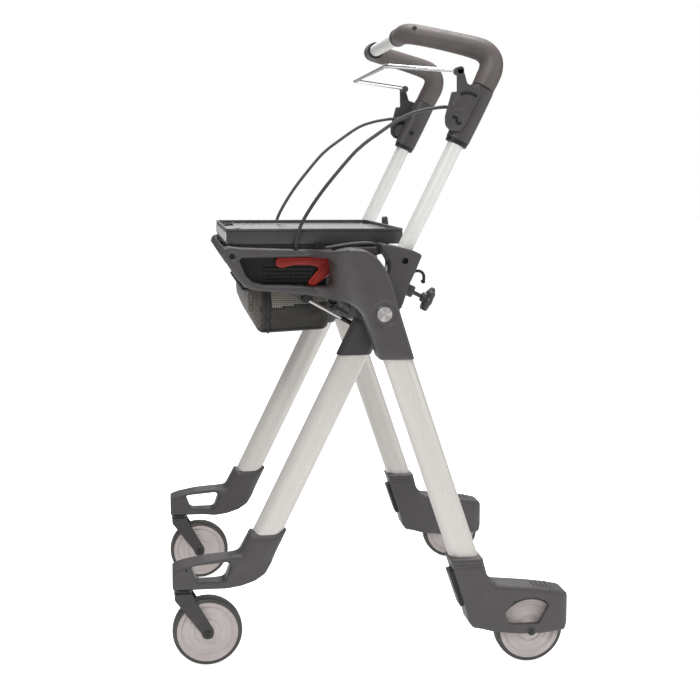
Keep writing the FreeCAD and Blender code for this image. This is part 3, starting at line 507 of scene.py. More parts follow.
def smooth_path(points, per=8):
    """Catmull-Rom path through rows of numbers (position, and anything that varies with it)."""
    p = np.array(points, float)
    p = np.concatenate([[2 * p[0] - p[1]], p, [2 * p[-1] - p[-2]]])
    rows = []
    for i in range(1, len(p) - 2):
        for k in range(per):
            t = k / per
            rows.append(0.5 * (2 * p[i] + (p[i + 1] - p[i - 1]) * t
                               + (2 * p[i - 1] - 5 * p[i] + 4 * p[i + 1] - p[i + 2]) * t * t
                               + (3 * p[i] - p[i - 1] - 3 * p[i + 1] + p[i + 2]) * t ** 3))
    rows.append(p[-2])
    return np.array(rows)


def pipe(name, mat, rows, around=24, shape=None):
    """Round bar along rows of (x, y, z, radius); shape(i, angle) may vary the radius."""
    rows = np.array(rows, float)
    along = np.gradient(rows[:, :3], axis=0)
    along /= np.linalg.norm(along, axis=1)[:, None]
    side = np.cross(along[0], (0.0, 0.0, 1.0) if abs(along[0][2]) < 0.9 else (0.0, 1.0, 0.0))
    rings = []
    for i, row in enumerate(rows):
        side = side - along[i] * (side @ along[i])
        side /= np.linalg.norm(side)
        up = np.cross(side, along[i])
        turns = np.arange(around) * 2 * math.pi / around
        radius = np.full(around, row[3])
        if shape is not None:
            radius = radius * np.array([shape(i, a) for a in turns])
        rings.append(row[:3] + (np.cos(turns)[:, None] * side + np.sin(turns)[:, None] * up)
                     * radius[:, None])
    return loft(name, mat, rings)


def lathe(name, mat, profile, x, y, z, count=96):
    """Turned piece about a Y axis; profile rows are (radius, offset along the axis), closed."""
    profile = np.array(profile, float)
    turns = np.arange(count) * 2 * math.pi / count
    verts = [(x + r * math.cos(a), y + w, z + r * math.sin(a)) for a in turns for r, w in profile]
    n = len(profile)
    faces = []
    for i in range(count):
        j = (i + 1) % count
        for k in range(n):
            m = (k + 1) % n
            faces.append((i * n + k, i * n + m, j * n + m, j * n + k))
    obj = mesh_object(name, np.array(verts) * MM, faces, mat)
    smooth_by_angle(obj, 38.0)
    return obj


def place(obj, name, body, slot_name, *nodes):
    """Names a finished piece, ties it to its CAD body and hides the nodes it stands for; slot_name is not used.
    """
    obj.name = name
    obj.data.name = name
    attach(obj, body)
    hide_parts(*nodes)
    return obj


# ---- frame dimensions (millimetres)
PIVOT_X, PIVOT_Z = 10.0, 510.0
FRONT_LEAN = math.radians(26.0)
FRONT_Y = 189.0
ARM_MID = 193.0
WHEEL_R = 50.0
REAR_WHEEL = (226.8, 245.0, WHEEL_R)
CASTER_WHEEL = (-233.0, ARM_MID, WHEEL_R)
LEVER_X, LEVER_Z = 119.0, 771.0


def on_front(along, across=0.0, y=FRONT_Y):
    """Point on the front leg's line, along it above the pivot and across it toward the user."""
    s, c = math.sin(FRONT_LEAN), math.cos(FRONT_LEAN)
    return np.array((PIVOT_X + along * s + across * c, y, PIVOT_Z + along * c - across * s))


def both_sides(build, name, body, slot_name, nodes):
    """Builds the right-hand piece twice, mirrors one, and gives each its CAD body; {} is the side."""
    for side, sign in SIDES.items():
        obj = build()
        if sign < 0:
            flip_side(obj)
        place(obj, f"{name}_{side}", body.format(side), slot_name, *[n.format(side) for n in nodes])


def paired(build, name, body, slot_name, nodes):
    """Builds the right-hand piece and its mirror as one object that stands for one CAD node."""
    near, far = build(), flip_side(build())
    place(join([near, far], name), name, body, slot_name, *nodes)


# ---- side arms and hub castings
ARM_OUTLINE = [
    (-207.5, 587.5, 5), (-204, 596, 5), (-196, 598.5, 6), (-180, 596.5, 20), (-96, 593.5, 60), (-60, 592.5, 30),
    (-35, 599, 20),
    (-15, 597, 14), (0, 587, 12), (11, 573, 20), (20, 554, 30), (27, 530, 30), (33, 509, 30), (53, 446.5, 2),
    (5, 446.5, 2), (-10, 489, 14), (-16, 506, 12), (-25, 517, 10), (-38, 524, 12), (-52, 523, 15),
    (-82, 526.5, 60), (-132, 532.5, 60), (-159.5, 535.2, 20), (-172, 540.2, 14), (-184.5, 552.2, 30)]
ARM_WINDOW = [
    (-181.5, 581, 4), (-54, 582.5, 8), (-50, 541.5, 9), (-75, 540, 20), (-110, 542.5, 60), (-148, 543.5, 20),
    (-162, 547.5, 10), (-171, 556, 14)]
ARM_FACE, CHEEK_FACE, ARM_BACK, CHEEK_BACK = 172.0, 262.0, 153.0, 216.0


def hub_slot_x(z):
    """Front edge of the deep pocket behind the hub casting, which takes the front frame's hub."""
    return np.interp(z, (520.0, 540.0, 606.0), (-42.0, -44.0, -58.0))


def arm_outer(x, z):
    """Outer face: the arm's flat side rising to the hub, with a ring and a dish round the pivot bolt."""
    across = x + 0.32 * (z - 560.0)
    from_pivot = np.hypot(x - PIVOT_X, z - PIVOT_Z)
    y = ARM_FACE + (CHEEK_FACE - ARM_FACE) * ramp(across, -80.0, -24.0)
    y = y - 1.8 * ramp(from_pivot, 11.6, 12.8) * (1 - ramp(from_pivot, 16.4, 18.0))
    return y - 3.8 * (1 - ramp(from_pivot, 10.2, 10.6))


def arm_inner(x, z):
    y = ARM_BACK + (CHEEK_BACK - ARM_BACK) * ramp(x - hub_slot_x(z), 0.0, 1.6)
    return np.minimum(y, arm_outer(x, z) - 5.0)


def build_side_arm():
    heights = np.arange(508.0, 598.0, 4.0)
    line = hub_slot_x(heights)
    seams = [np.stack([line + d, heights], 1) for d in (-0.4, 0.5, 1.4, 2.2)]
    rings = [circle(PIVOT_X, PIVOT_Z, r, 40) for r in (5, 8, 10.1, 10.7, 11.5, 12.9, 14.5, 16.3, 18.1)]
    shell = relief("arm_shell", CASTING, [outline(ARM_OUTLINE), outline(ARM_WINDOW)[::-1],
                                          circle(-190.5, 583.6, 3.3, 20)],
                   arm_outer, arm_inner, rim=4.2, grid=4.5, extra=seams + rings, walls=4)
    boss = relief("boss", CASTING, [outline([(-46, 523, 5), (-14, 497, 4), (6, 488, 8), (24, 493, 14),
        (32, 510, 14),
                                             (24, 527, 14), (8, 533, 10), (-9, 548, 10), (-5, 578, 14),
                                             (35, 590, 3),
                                             (33, 596.5, 4), (-28, 596.5, 10), (-46, 592.5, 3)])],
                  level(ARM_FACE), level(ARM_BACK), rim=2.5)
    lug = relief("lug", CASTING, [outline([(-98, 534, 2), (-96, 517, 7), (-77, 515, 7), (-72, 534, 2)])],
                 level(160.0), level(154.0), rim=1.2)
    # Painted shade: a dark disc fills the small hole near the arm's tip.
    plug = lathe("plug", RECESS_SHADE, [(0.01, 0), (3.6, 0), (3.6, 3), (0.01, 3)], -190.5, 165.5, 583.6, 24)
    lip = pipe("lip", CASTING, smooth_path([(-62, 168, 594.5, 2.2), (-40, 168, 597.5, 2.8),
        (-20, 168, 600.0, 3.0),
                                            (-4, 168, 601.0, 3.0), (9, 168, 600.6, 2.6), (14, 168, 598.0, 2.0)],
                                            6), 12)
    return join([shell, boss, lug, plug, lip], "side_arm")


both_sides(build_side_arm, "side_arm_casting", "rear_frame", "casting", ["side_arm_{}"])

# ---- rear brake housings
HOOD_OUTLINE = [
    (106.2, 161.5, 2), (153.5, 161.5, 2), (160, 137, 12), (171, 120.5, 14), (223, 115, 60), (256, 110, 20),
    (282, 104.5, 11), (283, 60, 10), (279, 48.5, 6), (245, 45, 30), (212, 45.5, 30), (172, 50.5, 30),
    (155, 55.5, 10), (141, 58.5, 7), (135.5, 66, 8), (127, 98, 30)]
HOOD_INNER, HOOD_OUTER = 222.5, 267.0
HOOD_TAIL_X = 283.0
HOOD_TAIL_ROUND = 13.0
HOOD_OPENING = [
    (187, 80, 10), (199, 95, 8), (216, 100, 30), (232, 100, 20), (246, 95, 8), (253, 88, 6), (238, 60, 8),
    (193, 61, 8)]


def hood_round(x):
    """How far the rounded tail pulls each side in."""
    past = np.clip(x - (HOOD_TAIL_X - HOOD_TAIL_ROUND), 0.0, HOOD_TAIL_ROUND)
    return HOOD_TAIL_ROUND - np.sqrt(np.clip(HOOD_TAIL_ROUND ** 2 - past ** 2, 0.0, None))


def hood_groove(z):
    """Two fine grooves round the collar."""
    return 0.7 * np.exp(-((z - 153.5) / 1.1) ** 2) + 0.7 * np.exp(-((z - 149.5) / 1.1) ** 2)


def build_hood():
    rows = [np.stack([np.arange(98.0, 160.0, 4.0), np.full(16, z)], 1) for z in (148.3, 149.5, 151.5, 153.5,
        155.0)]
    shell = relief("hood_shell", CASTING, [outline(HOOD_OUTLINE)],
                   lambda x, z: HOOD_OUTER - hood_round(x) - hood_groove(z),
                   lambda x, z: HOOD_INNER + hood_round(x) + hood_groove(z), rim=5.0, grid=5.0, extra=rows,
                   walls=6)
    x, y, z = REAR_WHEEL
    room = lathe("room", CASTING, [(0.01, -14), (WHEEL_R + 3.5, -14), (WHEEL_R + 3.5, 14), (0.01, 14)], x, y, z,
        80)
    opening = relief("opening", CASTING, [outline(HOOD_OPENING)], level(275.0), level(250.0), rim=0.01)
    shell = cut(shell, room, opening)
    ribs = []
    for x in range(234, 272, 7):
        top = float(np.interp(x, (223.0, 256.0, 270.0), (115.0, 110.4, 106.4))) - 0.5
        rib = [(x, 229.5, top - 2.0, 1.4), (x, 232, top - 0.3, 2.2), (x, 245, top, 2.4), (x, 258, top - 0.3, 2.2),
               (x, 260.5, top - 2.0, 1.4)]
        ribs.append(pipe("rib", CASTING, smooth_path(rib, 4), 10))
    rim = lathe("axle_ring", CASTING, [(4.2, 0), (6.4, 0), (6.4, 0.7), (5.9, 1.0), (4.2, 1.0)], REAR_WHEEL[0],
                HOOD_OUTER - 0.2, REAR_WHEEL[2], 40)
    return join([shell, rim] + ribs, "hood")


both_sides(build_hood, "rear_hood", "rear_frame", "casting", ["rear_housing_{}"])

# ---- caster arms
CASTER_OUTLINE = [
    (-281.5, 146.5, 3), (-268, 151.5, 10), (-239, 157, 60), (-203, 160, 20), (-187.5, 163.5, 12),
    (-171, 194.5, 2),
    (-117, 194.5, 2), (-140, 147, 24), (-150, 133, 18), (-165, 123, 18), (-185, 116.5, 20), (-206, 113.6, 20),
    (-281.5, 113.6, 4)]
CASTER_WINDOW = [(-256, 148, 4), (-198, 152.5, 6), (-207, 124, 8), (-247, 124, 8)]


def caster_collar(x, z):
    """0 over the reaching blade, 1 over the collar round the leg."""
    return ramp((x + 187.0) - 0.4877 * (z - 161.0), -22.0, 12.0)


def caster_top(x):
    """Height of the blade's top edge."""
    return np.interp(x, (-281.5, -268.0, -239.0, -193.0), (146.5, 151.5, 157.0, 160.3))


def caster_half(x, z):
    """Half thickness: a thin blade with a wider lip along its top, and the collar."""
    lip = 1 - ramp(caster_top(x) - z, 4.5, 7.0)
    collar = caster_collar(x, z)
    return 13.0 + 3.5 * lip * (1 - collar) + 5.0 * collar


def caster_rim(x, z):
    """Edge rounding: tight on the blade, full on the collar."""
    return 2.6 + 13.0 * caster_collar(x, z) * ramp(z, 128.0, 160.0)


def build_caster_arm():
    lip_x = np.arange(-279.0, -195.0, 3.5)
    rows = [np.stack([lip_x, caster_top(lip_x) - drop], 1) for drop in (4.4, 5.4, 6.3, 7.2)]
    arm = relief("blade", CASTING, [outline(CASTER_OUTLINE), outline(CASTER_WINDOW)[::-1]],
                 lambda x, z: ARM_MID - 4.0 * caster_collar(x, z) + caster_half(x, z),
                 lambda x, z: ARM_MID - 4.0 * caster_collar(x, z) - caster_half(x, z),
                 rim=caster_rim, grid=4.0, extra=rows, walls=5)
    # Painted shade: a dark disc in the notch on the caster arm's side.
    notch = lathe("notch", RECESS_SHADE, [(0.01, 0), (1.6, 0), (1.6, 1.2), (0.01, 1.2)], -262.0, ARM_MID + 12.2, 143.0,
        16)
    return join([arm, notch], "caster_arm")


both_sides(build_caster_arm, "caster_arm_casting", "front_frame", "casting", ["caster_arm_{}"])


# ---- wheels
def wheel_profile():
    half = [(12.0, 12.9), (12.9, 12.2), (13.2, 10.6), (16.0, 9.2), (18.4, 8.8), (19.2, 9.8), (20.6, 9.8),
        (21.4, 8.8),
            (26.0, 8.2), (26.5, 8.7), (27.3, 8.6), (27.8, 7.9), (35.5, 6.6), (37.2, 8.8), (38.5, 10.2),
            (40.2, 10.2),
            (40.8, 9.7), (41.6, 10.4), (43.5, 11.2)]
    return [(4.1, 12.9)] + half + [(r, -w) for r, w in reversed(half)] + [(4.1, -12.9)]


def tyre_profile():
    half = [(43.55, 11.3), (44.2, 11.9), (45.4, 12.0), (47.2, 11.6), (48.8, 10.0), (49.6, 7.0), (49.85, 4.6),
        (49.4, 4.2),
            (49.4, 3.6), (49.95, 3.2), (50.0, 0.0)]
    return half + [(r, -w) for r, w in reversed(half[:-1])]


for wheel, place_at in (("front", CASTER_WHEEL), ("rear", REAR_WHEEL)):
    both_sides(lambda at=place_at: lathe("disc", WHEEL, wheel_profile(), *at), f"{wheel}_wheel_disc",
               wheel + "_wheel_{}", "wheel_grey", [wheel + "_wheel_{}"])
    both_sides(lambda at=place_at: lathe("tread", TYRE, tyre_profile(), *at), f"{wheel}_tyre_tread",
               wheel + "_wheel_{}", "tyre_grey", [wheel + "_tyre_{}"])


# ---- handlebar
GRIP_PATH = [
    (160.4, 189.0, 818.3, 16.2), (166.5, 187.6, 830.5, 16.9), (172.3, 184.8, 843.5, 17.1),
    (173.0, 181.5, 857.0, 16.6),
    (164.5, 178.3, 868.5, 16.0), (150.0, 174.2, 874.6, 15.3), (130.0, 168.5, 880.0, 14.6),
    (108.0, 161.8, 885.4, 14.2),
    (86.0, 154.6, 890.3, 14.0), (69.0, 146.4, 894.0, 14.2), (59.5, 134.5, 895.3, 14.0),
    (57.5, 119.0, 894.8, 13.2),
    (57.5, 106.0, 894.6, 12.6), (57.5, 95.0, 894.6, 12.2)]


def build_grip():
    rows = smooth_path(GRIP_PATH, 8)
    first, last = rows[0] - (rows[1] - rows[0]) * 0.2, rows[-1] - (rows[-2] - rows[-1]) * 0.2
    first[3], last[3] = rows[0, 3] - 0.9, rows[-1, 3] - 0.9
    rows = np.concatenate([[first], rows, [last]])
    bar = pipe("bar", GRIP, rows, 40, shape=lambda i, a: 1 + 0.035 * math.cos(2 * a) * math.sin(i * 0.06))
    smooth_by_angle(bar, 60.0)
    collar = lathe("collar", BLACK, [(9.8, -3.2), (12.4, -3.2), (13.0, -2.6), (13.0, 2.6), (12.4, 3.4),
        (9.8, 3.4)],
                   57.5, 95.5, 894.6, 48)
    # Painted shade: a dark bar down the small hole in the grip.
    centre, way = np.array((70.0, 146.8, 893.8)), np.array((-0.1, 0.86, 0.5))
    hole = pipe("hole", RECESS_SHADE, [(*(centre + way * 9.0), 3.4), (*(centre + way * 15.0), 3.4)], 20)
    smooth_by_angle(hole, 35.0)
    return join([bar, collar, hole], "grip")


both_sides(build_grip, "hand_grip", "handlebar", "grip_rubber", ["grip_{}"])


def oval_loft(name, mat, stations, around=48):
    """Skin over ovals square to the front leg's line; stations are (along, long side, short side)."""
    s, c = math.sin(FRONT_LEAN), math.cos(FRONT_LEAN)
    across = np.array((c, 0.0, -s))
    rings = []
    for along, long_side, short_side in stations:
        turns = np.arange(around) * 2 * math.pi / around
        power = 0.82
        u = np.sign(np.cos(turns)) * np.abs(np.cos(turns)) ** power * long_side / 2
        v = np.sign(np.sin(turns)) * np.abs(np.sin(turns)) ** power * short_side / 2
        rings.append(on_front(along) + u[:, None] * across + v[:, None] * np.array((0.0, 1.0, 0.0)))
    return loft(name, mat, rings)


def build_lever_housing():
    body = oval_loft("body", CASTING, [(262, 31, 25), (262.5, 33.5, 26.5), (300, 34.5, 26.5), (335, 34, 27),
        (341, 33.4, 27.4),
                                       (341.6, 32, 26), (342.9, 32, 26)])
    smooth_by_angle(body, 35.0)
    rim = oval_loft("rim", BLACK, [(256, 29, 24), (256.6, 31.4, 25.6), (262, 32, 26), (262.1, 28, 24)])
    smooth_by_angle(rim, 35.0)
    ear = lathe("ear", CASTING, [(0.01, 186), (10.2, 186), (10.2, 201.2), (9.4, 202), (0.01, 202)], LEVER_X, 0,
        LEVER_Z, 40)
    snout = pipe("snout", CASTING, [(131, 194, 790.6, 5.6), (122, 194, 790.6, 5.2), (117, 194, 790.6, 4.6),
                                    (112.5, 194, 790.6, 4.1)], 20)
    smooth_by_angle(snout, 35.0)
    return join([body, rim, ear, snout], "lever_housing")


both_sides(build_lever_housing, "lever_shell", "handlebar", "housing_grey", ["lever_housing_{}"])
paired(lambda: lathe("pin", STEEL, [(0.01, 190), (2.95, 190), (2.95, 206.2), (0.01, 206.2)], LEVER_X, 0,
    LEVER_Z, 24),
       "lever_pins", "handlebar", "trim_black", ["lever_screws"])

LEVER_OUTLINE = [
    (103.5, 766, 9), (110, 758.5, 8), (126, 757.5, 8), (133, 768, 6), (153.5, 809.5, 4), (151.5, 817.5, 4),
    (134.5, 822.5, 4),
    (129.6, 838, 4), (129, 846, 5), (120, 846, 5), (118.8, 838, 4), (119.5, 811.5, 2), (112.0, 811.5, 3),
    (108, 796, 10),
    (103, 778, 10)]


def flatten(obj, y, keep):
    """Squeezes a piece sideways towards the plane at y."""
    obj.data.transform(Matrix.Translation((0, y * MM, 0)) @ Matrix.Diagonal((1, keep, 1, 1))
                       @ Matrix.Translation((0, -y * MM, 0)))


def build_lever():
    from_pin = lambda x, z: np.hypot(x - LEVER_X, z - LEVER_Z)
    panel = outline([(110, 786, 5), (131, 786, 6), (146.5, 812, 4), (119, 808, 3)], 2.0)

    def face(x, z):
        inner = inside(np.stack([x, z], 1), [panel]) * np.clip(edge_distance(np.stack([x, z], 1), [panel]), 0,
            1.2)
        return 206.0 + 0.9 * inner + 2.9 * (1 - ramp(from_pin(x, z), 8.6, 10.6))

    rings = [circle(LEVER_X, LEVER_Z, r, 30) for r in (6, 8.4, 9.2, 10.0, 10.8)]
    plate = relief("plate", CASTING, [outline(LEVER_OUTLINE)], face, level(202.7), rim=1.2, grid=3.0,
                   extra=rings + [panel], walls=2)
    # Painted shade: the slot in the pivot screw and the arc groove in the panel are dark pieces.
    slot_path = [(112.2, 209.0, 775.4, 2.0), (115.2, 209.0, 777.6, 2.2), (118.6, 209.0, 775.6, 2.2),
        (119.0, 209.0, 771.4, 2.1),
                 (121.6, 209.0, 768.2, 2.2), (125.6, 209.0, 768.8, 2.0)]
    curl = pipe("curl", RECESS_SHADE, smooth_path(slot_path, 5), 12)
    flatten(curl, 208.8, 0.3)
    arc = pipe("arc", RECESS_SHADE, smooth_path([(124.5, 206.9, 808.4, 1.7), (131, 206.9, 809.8, 2.1),
        (139, 206.9, 809.2, 2.1),
                                          (147.5, 206.9, 805.6, 1.7)], 5), 12)
    flatten(arc, 206.8, 0.5)
    knob = lathe("knob", HOUSING, [(0.01, 183), (4.6, 183), (5.6, 184.2), (5.6, 204.4), (4.6, 206),
        (0.01, 206)], 124, 0, 840.5, 32)
    return join([plate, curl, arc, knob], "lever")


both_sides(build_lever, "brake_lever_plate", "brake_bar", "housing_grey", ["brake_lever_{}"])


def bent(points, bend, radius):
    """Rows for a bar of straight runs joined by round bends."""
    points = [np.array(p, float) for p in points]
    rows = [points[0]]
    for before, here, after in zip(points, points[1:], points[2:]):
        rows += rounded_corner(here, before, after, bend, per=7)
    return np.array([(*p, radius) for p in rows + [points[-1]]])


loop_half = [(124.0, 188.0, 840.5), (116.0, 184.0, 842.5), (30.5, 144.0, 850.0)]
wire = pipe("wire", CHROME, bent(loop_half + [(x, -y, z) for x, y, z in reversed(loop_half)], 11.0, 3.2), 20)
place(wire, "brake_loop_wire", "brake_bar", "chrome_wire", "brake_loop")

# ---- star knobs of the height clamps
CLAMP_ALONG = 44.0
KNOB_SECTION = [(12, 3.0, 0.0), (52, 3.0, 0.0), (52.2, 6.6, 0.0), (57.0, 8.0, 0.0), (57.6, 11.5, 0.07),
    (58.6, 15.0, 0.12),
                (60.4, 16.2, 0.14), (64.6, 16.2, 0.14), (66.4, 15.0, 0.12), (67.3, 12.0, 0.07), (67.4, 7.0, 0.0),
                (66.6, 5.6, 0.0), (66.5, 0.4, 0.0)]


def build_knob():
    s, c = math.sin(FRONT_LEAN), math.cos(FRONT_LEAN)
    along = np.array((s, 0.0, c))
    turns = np.arange(84) * 2 * math.pi / 84
    rings = []
    for across, radius, lobe in KNOB_SECTION:
        reach = (radius * (1 + lobe * np.cos(7 * turns)))[:, None]
        rings.append(on_front(CLAMP_ALONG, across) + reach * (np.cos(turns)[:, None] * along
                                                              + np.sin(turns)[:, None] * np.array((0.0, 1.0,
                                                                  0.0))))
    knob = loft("knob", HOUSING, rings)
    smooth_by_angle(knob, 50.0)
    return knob


both_sides(build_knob, "clamp_star", "clamp_knob_{}", "housing_grey", ["clamp_knob_{}"])

# ---- brake cables
CABLE_PATH = [
    (121.5, 194, 790.8), (113, 194, 791), (102, 193.9, 791), (89, 193.6, 789.2), (70, 193, 785.3),
    (45, 191.8, 776),
    (10, 189, 752.5), (-10, 187, 737.5), (-28, 184.8, 719.5), (-64, 179.4, 675.5), (-89, 172.6, 637),
    (-98.2, 169.6, 614),
    (-101, 168.2, 597), (-101, 168.2, 588)]


def build_cables():
    rows = smooth_path([(*p, 2.45) for p in CABLE_PATH], 14)
    middle = int(np.argmin(np.abs(rows[:, 0] + 4.0)))
    along = rows[middle, :3]
    ribbed = lambda i, a: 1 + 0.03 * (i % 2)
    for side, sign in SIDES.items():
        for part, run in (("upper", rows[:middle + 1]), ("lower", rows[middle:])):
            piece = pipe("cable", CABLE, run, 14, shape=ribbed)
            if sign < 0:
                flip_side(piece)
            piece.name = f"brake_cable_{part}_{side}"
            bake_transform(piece)
            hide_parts("brake_cables")
            if part == "lower":
                ferrule = pipe("ferrule", BLACK, [(-101, 168.2, 586, 3.6), (-101, 168.2, 600.5, 3.5),
                    (-101.1, 168.2, 601.6, 2.9)], 16)
                smooth_by_angle(ferrule, 35.0)
                if sign < 0:
                    flip_side(ferrule)
                place(ferrule, f"cable_ferrule_{side}", "rear_frame", "trim_black")


build_cables()

# ---- tray
TRAY_X = (-198.0, 56.0)
TRAY_HALF = 163.0


def rounded_ring(x0, x1, half_y, radius, z, per=9, run=14):
    """Points round a rounded rectangle in plan."""
    ring = []
    corners = [(x1 - radius, half_y - radius, 0), (x0 + radius, half_y - radius, 90),
               (x0 + radius, -half_y + radius, 180), (x1 - radius, -half_y + radius, 270)]
    for n, (cx, cy, start) in enumerate(corners):
        arc = [math.radians(start + 90 * k / per) for k in range(per + 1)]
        ring += [(cx + radius * math.cos(a), cy + radius * math.sin(a)) for a in arc]
        nx, ny, nstart = corners[(n + 1) % 4]
        a = math.radians(nstart)
        end = (nx + radius * math.cos(a), ny + radius * math.sin(a))
        here = ring[-1]
        ring += [(here[0] + (end[0] - here[0]) * k / run,
            here[1] + (end[1] - here[1]) * k / run) for k in range(1, run)]
    ring = np.array(ring)
    return np.concatenate([ring, np.full((len(ring), 1), z)], 1)


def build_tray():
    section = [(30, 612.4), (5.4, 612.4), (4.6, 611.8), (4.2, 601.0), (3.4, 599.8), (1.8, 599.8), (0.9, 600.4),
        (0.5, 602.0),
               (0.1, 613.6), (0.1, 617.2), (0.9, 617.5), (0.9, 618.2), (0.1, 618.5), (0.0, 621.0), (0.5, 621.8),
               (1.2, 622.0),
               (2.4, 622.0), (3.0, 621.5), (3.4, 616.6), (4.4, 615.7), (6.0, 615.6), (30, 615.6)]
    rings = [rounded_ring(TRAY_X[0] + i, TRAY_X[1] - i, TRAY_HALF - i, max(14.0 - i, 6.0), z) for i, z in section]
    pan = loft("pan", TRAY, rings)
    smooth_by_angle(pan, 30.0)
    # Painted reflection: the floor is coloured lighter than the rest of the tray.
    floor = loft("floor", TRAY_FLOOR_SHEEN, [rounded_ring(TRAY_X[0] + 7, TRAY_X[1] - 7, TRAY_HALF - 7, 9.0,
        z) for z in (615.2, 615.8)])
    smooth_by_angle(floor, 30.0)
    tab = relief("tab", TRAY, [outline([(53.6, 606, 0.5), (53.6, 632, 2), (59.5, 634, 2), (61.5, 622, 2),
        (56.5, 606, 1)], 2.0)],
                 level(9.0), level(-9.0), rim=1.2, grid=3.0)
    details = [tab]
    for y in (-104.0, 104.0):
        hook = [(TRAY_X[0] + 4, y - 20, 616, 1.6), (TRAY_X[0] + 20, y - 18, 618.0, 1.6),
            (TRAY_X[0] + 24, y, 618.4, 1.6),
                (TRAY_X[0] + 20, y + 18, 618.0, 1.6), (TRAY_X[0] + 4, y + 20, 616, 1.6)]
        details.append(pipe("ridge", BLACK, smooth_path(hook, 6), 12))
    # Painted highlight: a near-white sheet over the tray's front face for the strong light on it.
    front = relief("front", FRONT_HIGHLIGHT, [outline([(-TRAY_HALF + 12, 603.5, 2), (TRAY_HALF - 12, 603.5, 2),
        (TRAY_HALF - 12, 616.0, 2),
                                            (-TRAY_HALF + 12, 616.0, 2)], 4.0)], level(0.5), level(-0.6),
                                            rim=0.5, grid=8.0)
    front.data.transform(Matrix.Translation((TRAY_X[0] * MM, 0, 0)) @ Matrix.Rotation(math.radians(90), 4, "Z"))
    return join([pan, floor, front] + details, "tray")


place(build_tray(), "tray_pan", "tray", "tray_charcoal", "tray")

# ---- basket
# (height, front, back, half width) down the bag
BASKET_LEVELS = [(535.0, -166.5, -52.5, 146.0), (520, -166.0, -52.2, 145.6), (505, -164.5, -51.6, 145.0),
                 (491, -160.5, -51.0, 144.0), (480, -156.0, -51.0, 143.2), (473.5, -152.0, -52.5, 142.0),
                 (470.6, -147.0, -57.0, 138.0)]


BASKET_TOP, BASKET_FLOOR = 535.0, 470.2
SIDE_WALL_Y = 136.0
SIDE_SEAM_X = (-143.0, -134.0)
FRONT_NET_X, FRONT_NET_Z = -149.0, 479.0
HEM_Z = 531.5


def basket_rings(inset):
    """Rings down the bag's wall and in across its floor, with the sag and creases of loaded cloth."""
    table = np.array(BASKET_LEVELS)
    rings = []
    heights = list(np.linspace(BASKET_TOP, 474.0, 26)) + [472.2, 470.9]
    wall_rings = len(heights)
    for z in heights:
        x0, x1, half = (float(np.interp(-z, -table[:, 0], table[:, k])) for k in (1, 2, 3))
        rings.append(rounded_ring(x0 + inset, x1 - inset, half - inset, 11.0, z, 7, 26))
    for pull in (8.0, 18.0, 34.0, 48.0):
        rings.append(rounded_ring(-147.0 + pull, -57.0 - pull, 138.0 - pull, 9.0 if pull < 40 else 0.8,
            BASKET_FLOOR, 7, 26))
    done = []
    for n, ring in enumerate(rings):
        ring = ring.copy()
        low = float(np.clip((BASKET_TOP - ring[0, 2]) / 61.0, 0, 1))
        mid = math.sin(math.pi * low)
        centre = np.array((-109.0, 0.0))
        for p in ring:
            out = np.array((np.clip((p[0] - centre[0]) / 57.0, -1, 1) ** 7, np.clip(p[1] / 145.0, -1, 1) ** 15))
            seed = Vector((p[0] * 0.035, p[1] * 0.035, p[2] * 0.05))
            crease = noise.noise(seed) * 2.0 + noise.noise(seed * 2.7) * 0.9
            shift = (2.2 + crease) * mid if n < wall_rings else 0.0
            p[:2] += out * shift
            p[2] += 4.6 * (p[0] + 147.0) / 95.0 * low ** 3
            if n >= wall_rings:
                p[2] += 1.6 * inset + crease * 0.7 * (inset < 0.5)
        done.append(ring)
    return done


def build_basket():
    outer = basket_rings(0.0)
    inner = basket_rings(1.4)
    hem = [rounded_ring(-166.5 + i, -52.5 - i, 146.0 - i, 11.0, z, 7, 26) for i,
        z in ((-0.5, 535.6), (0.2, 536.8), (1.2, 536.8))]
    bag = loft("bag", FABRIC, outer[::-1] + hem + inner)
    bag.data.materials.append(MESH_LIGHT)
    bag.data.materials.append(MESH_FRONT)
    bag.data.materials.append(BINDING)
    for face in bag.data.polygons:
        x, y, z = face.center / MM
        net_foot = float(np.interp(x, (-133.0, -88.0, -52.0), (506.0, 512.5, 514.0)))
        side = abs(y) > SIDE_WALL_Y
        behind_seam = x > SIDE_SEAM_X[1]
        if z > HEM_Z or side and SIDE_SEAM_X[0] < x < SIDE_SEAM_X[1]:
            face.material_index = 3
        elif side and behind_seam and abs(z - net_foot) < 1.6:
            face.material_index = 3
        elif side and behind_seam and z > net_foot:
            face.material_index = 1
        elif x < FRONT_NET_X and z > FRONT_NET_Z:
            face.material_index = 2
    smooth_by_angle(bag, 60.0)
    pipings = []
    for sign in (1.0, -1.0):
        corner = [(-138.5, sign * y, z, 1.3) for y, z in ((145.9, 534), (147.6, 518), (147.9, 503),
            (146.6, 489), (143.8, 475.5),
                                                          (140.5, 471.0))]
        pipings.append(pipe("piping", BINDING, smooth_path(corner, 5), 8))
        foot = [(x, sign * 143.4, z, 1.2) for x, z in ((-149, 473.6), (-134, 474.4), (-110, 476.0),
            (-80, 477.2), (-58, 478.2))]
        pipings.append(pipe("piping", BINDING, smooth_path(foot, 5), 8))
    return join([bag] + pipings, "basket")


place(build_basket(), "basket_bag", "rear_frame", "basket_fabric", "basket_body")

# ---- latch, struts, pivots
LATCH_OUTLINE = [(-128, 581, 6), (-128, 567, 6), (-117, 565.5, 4), (-103, 569.5, 6), (-80, 569.5, 6),
    (-64.5, 566, 3),
                 (-84.5, 541.5, 4), (-72, 538.8, 4), (-43, 562.5, 7), (-40.5, 579, 7), (-60, 581.5, 10)]


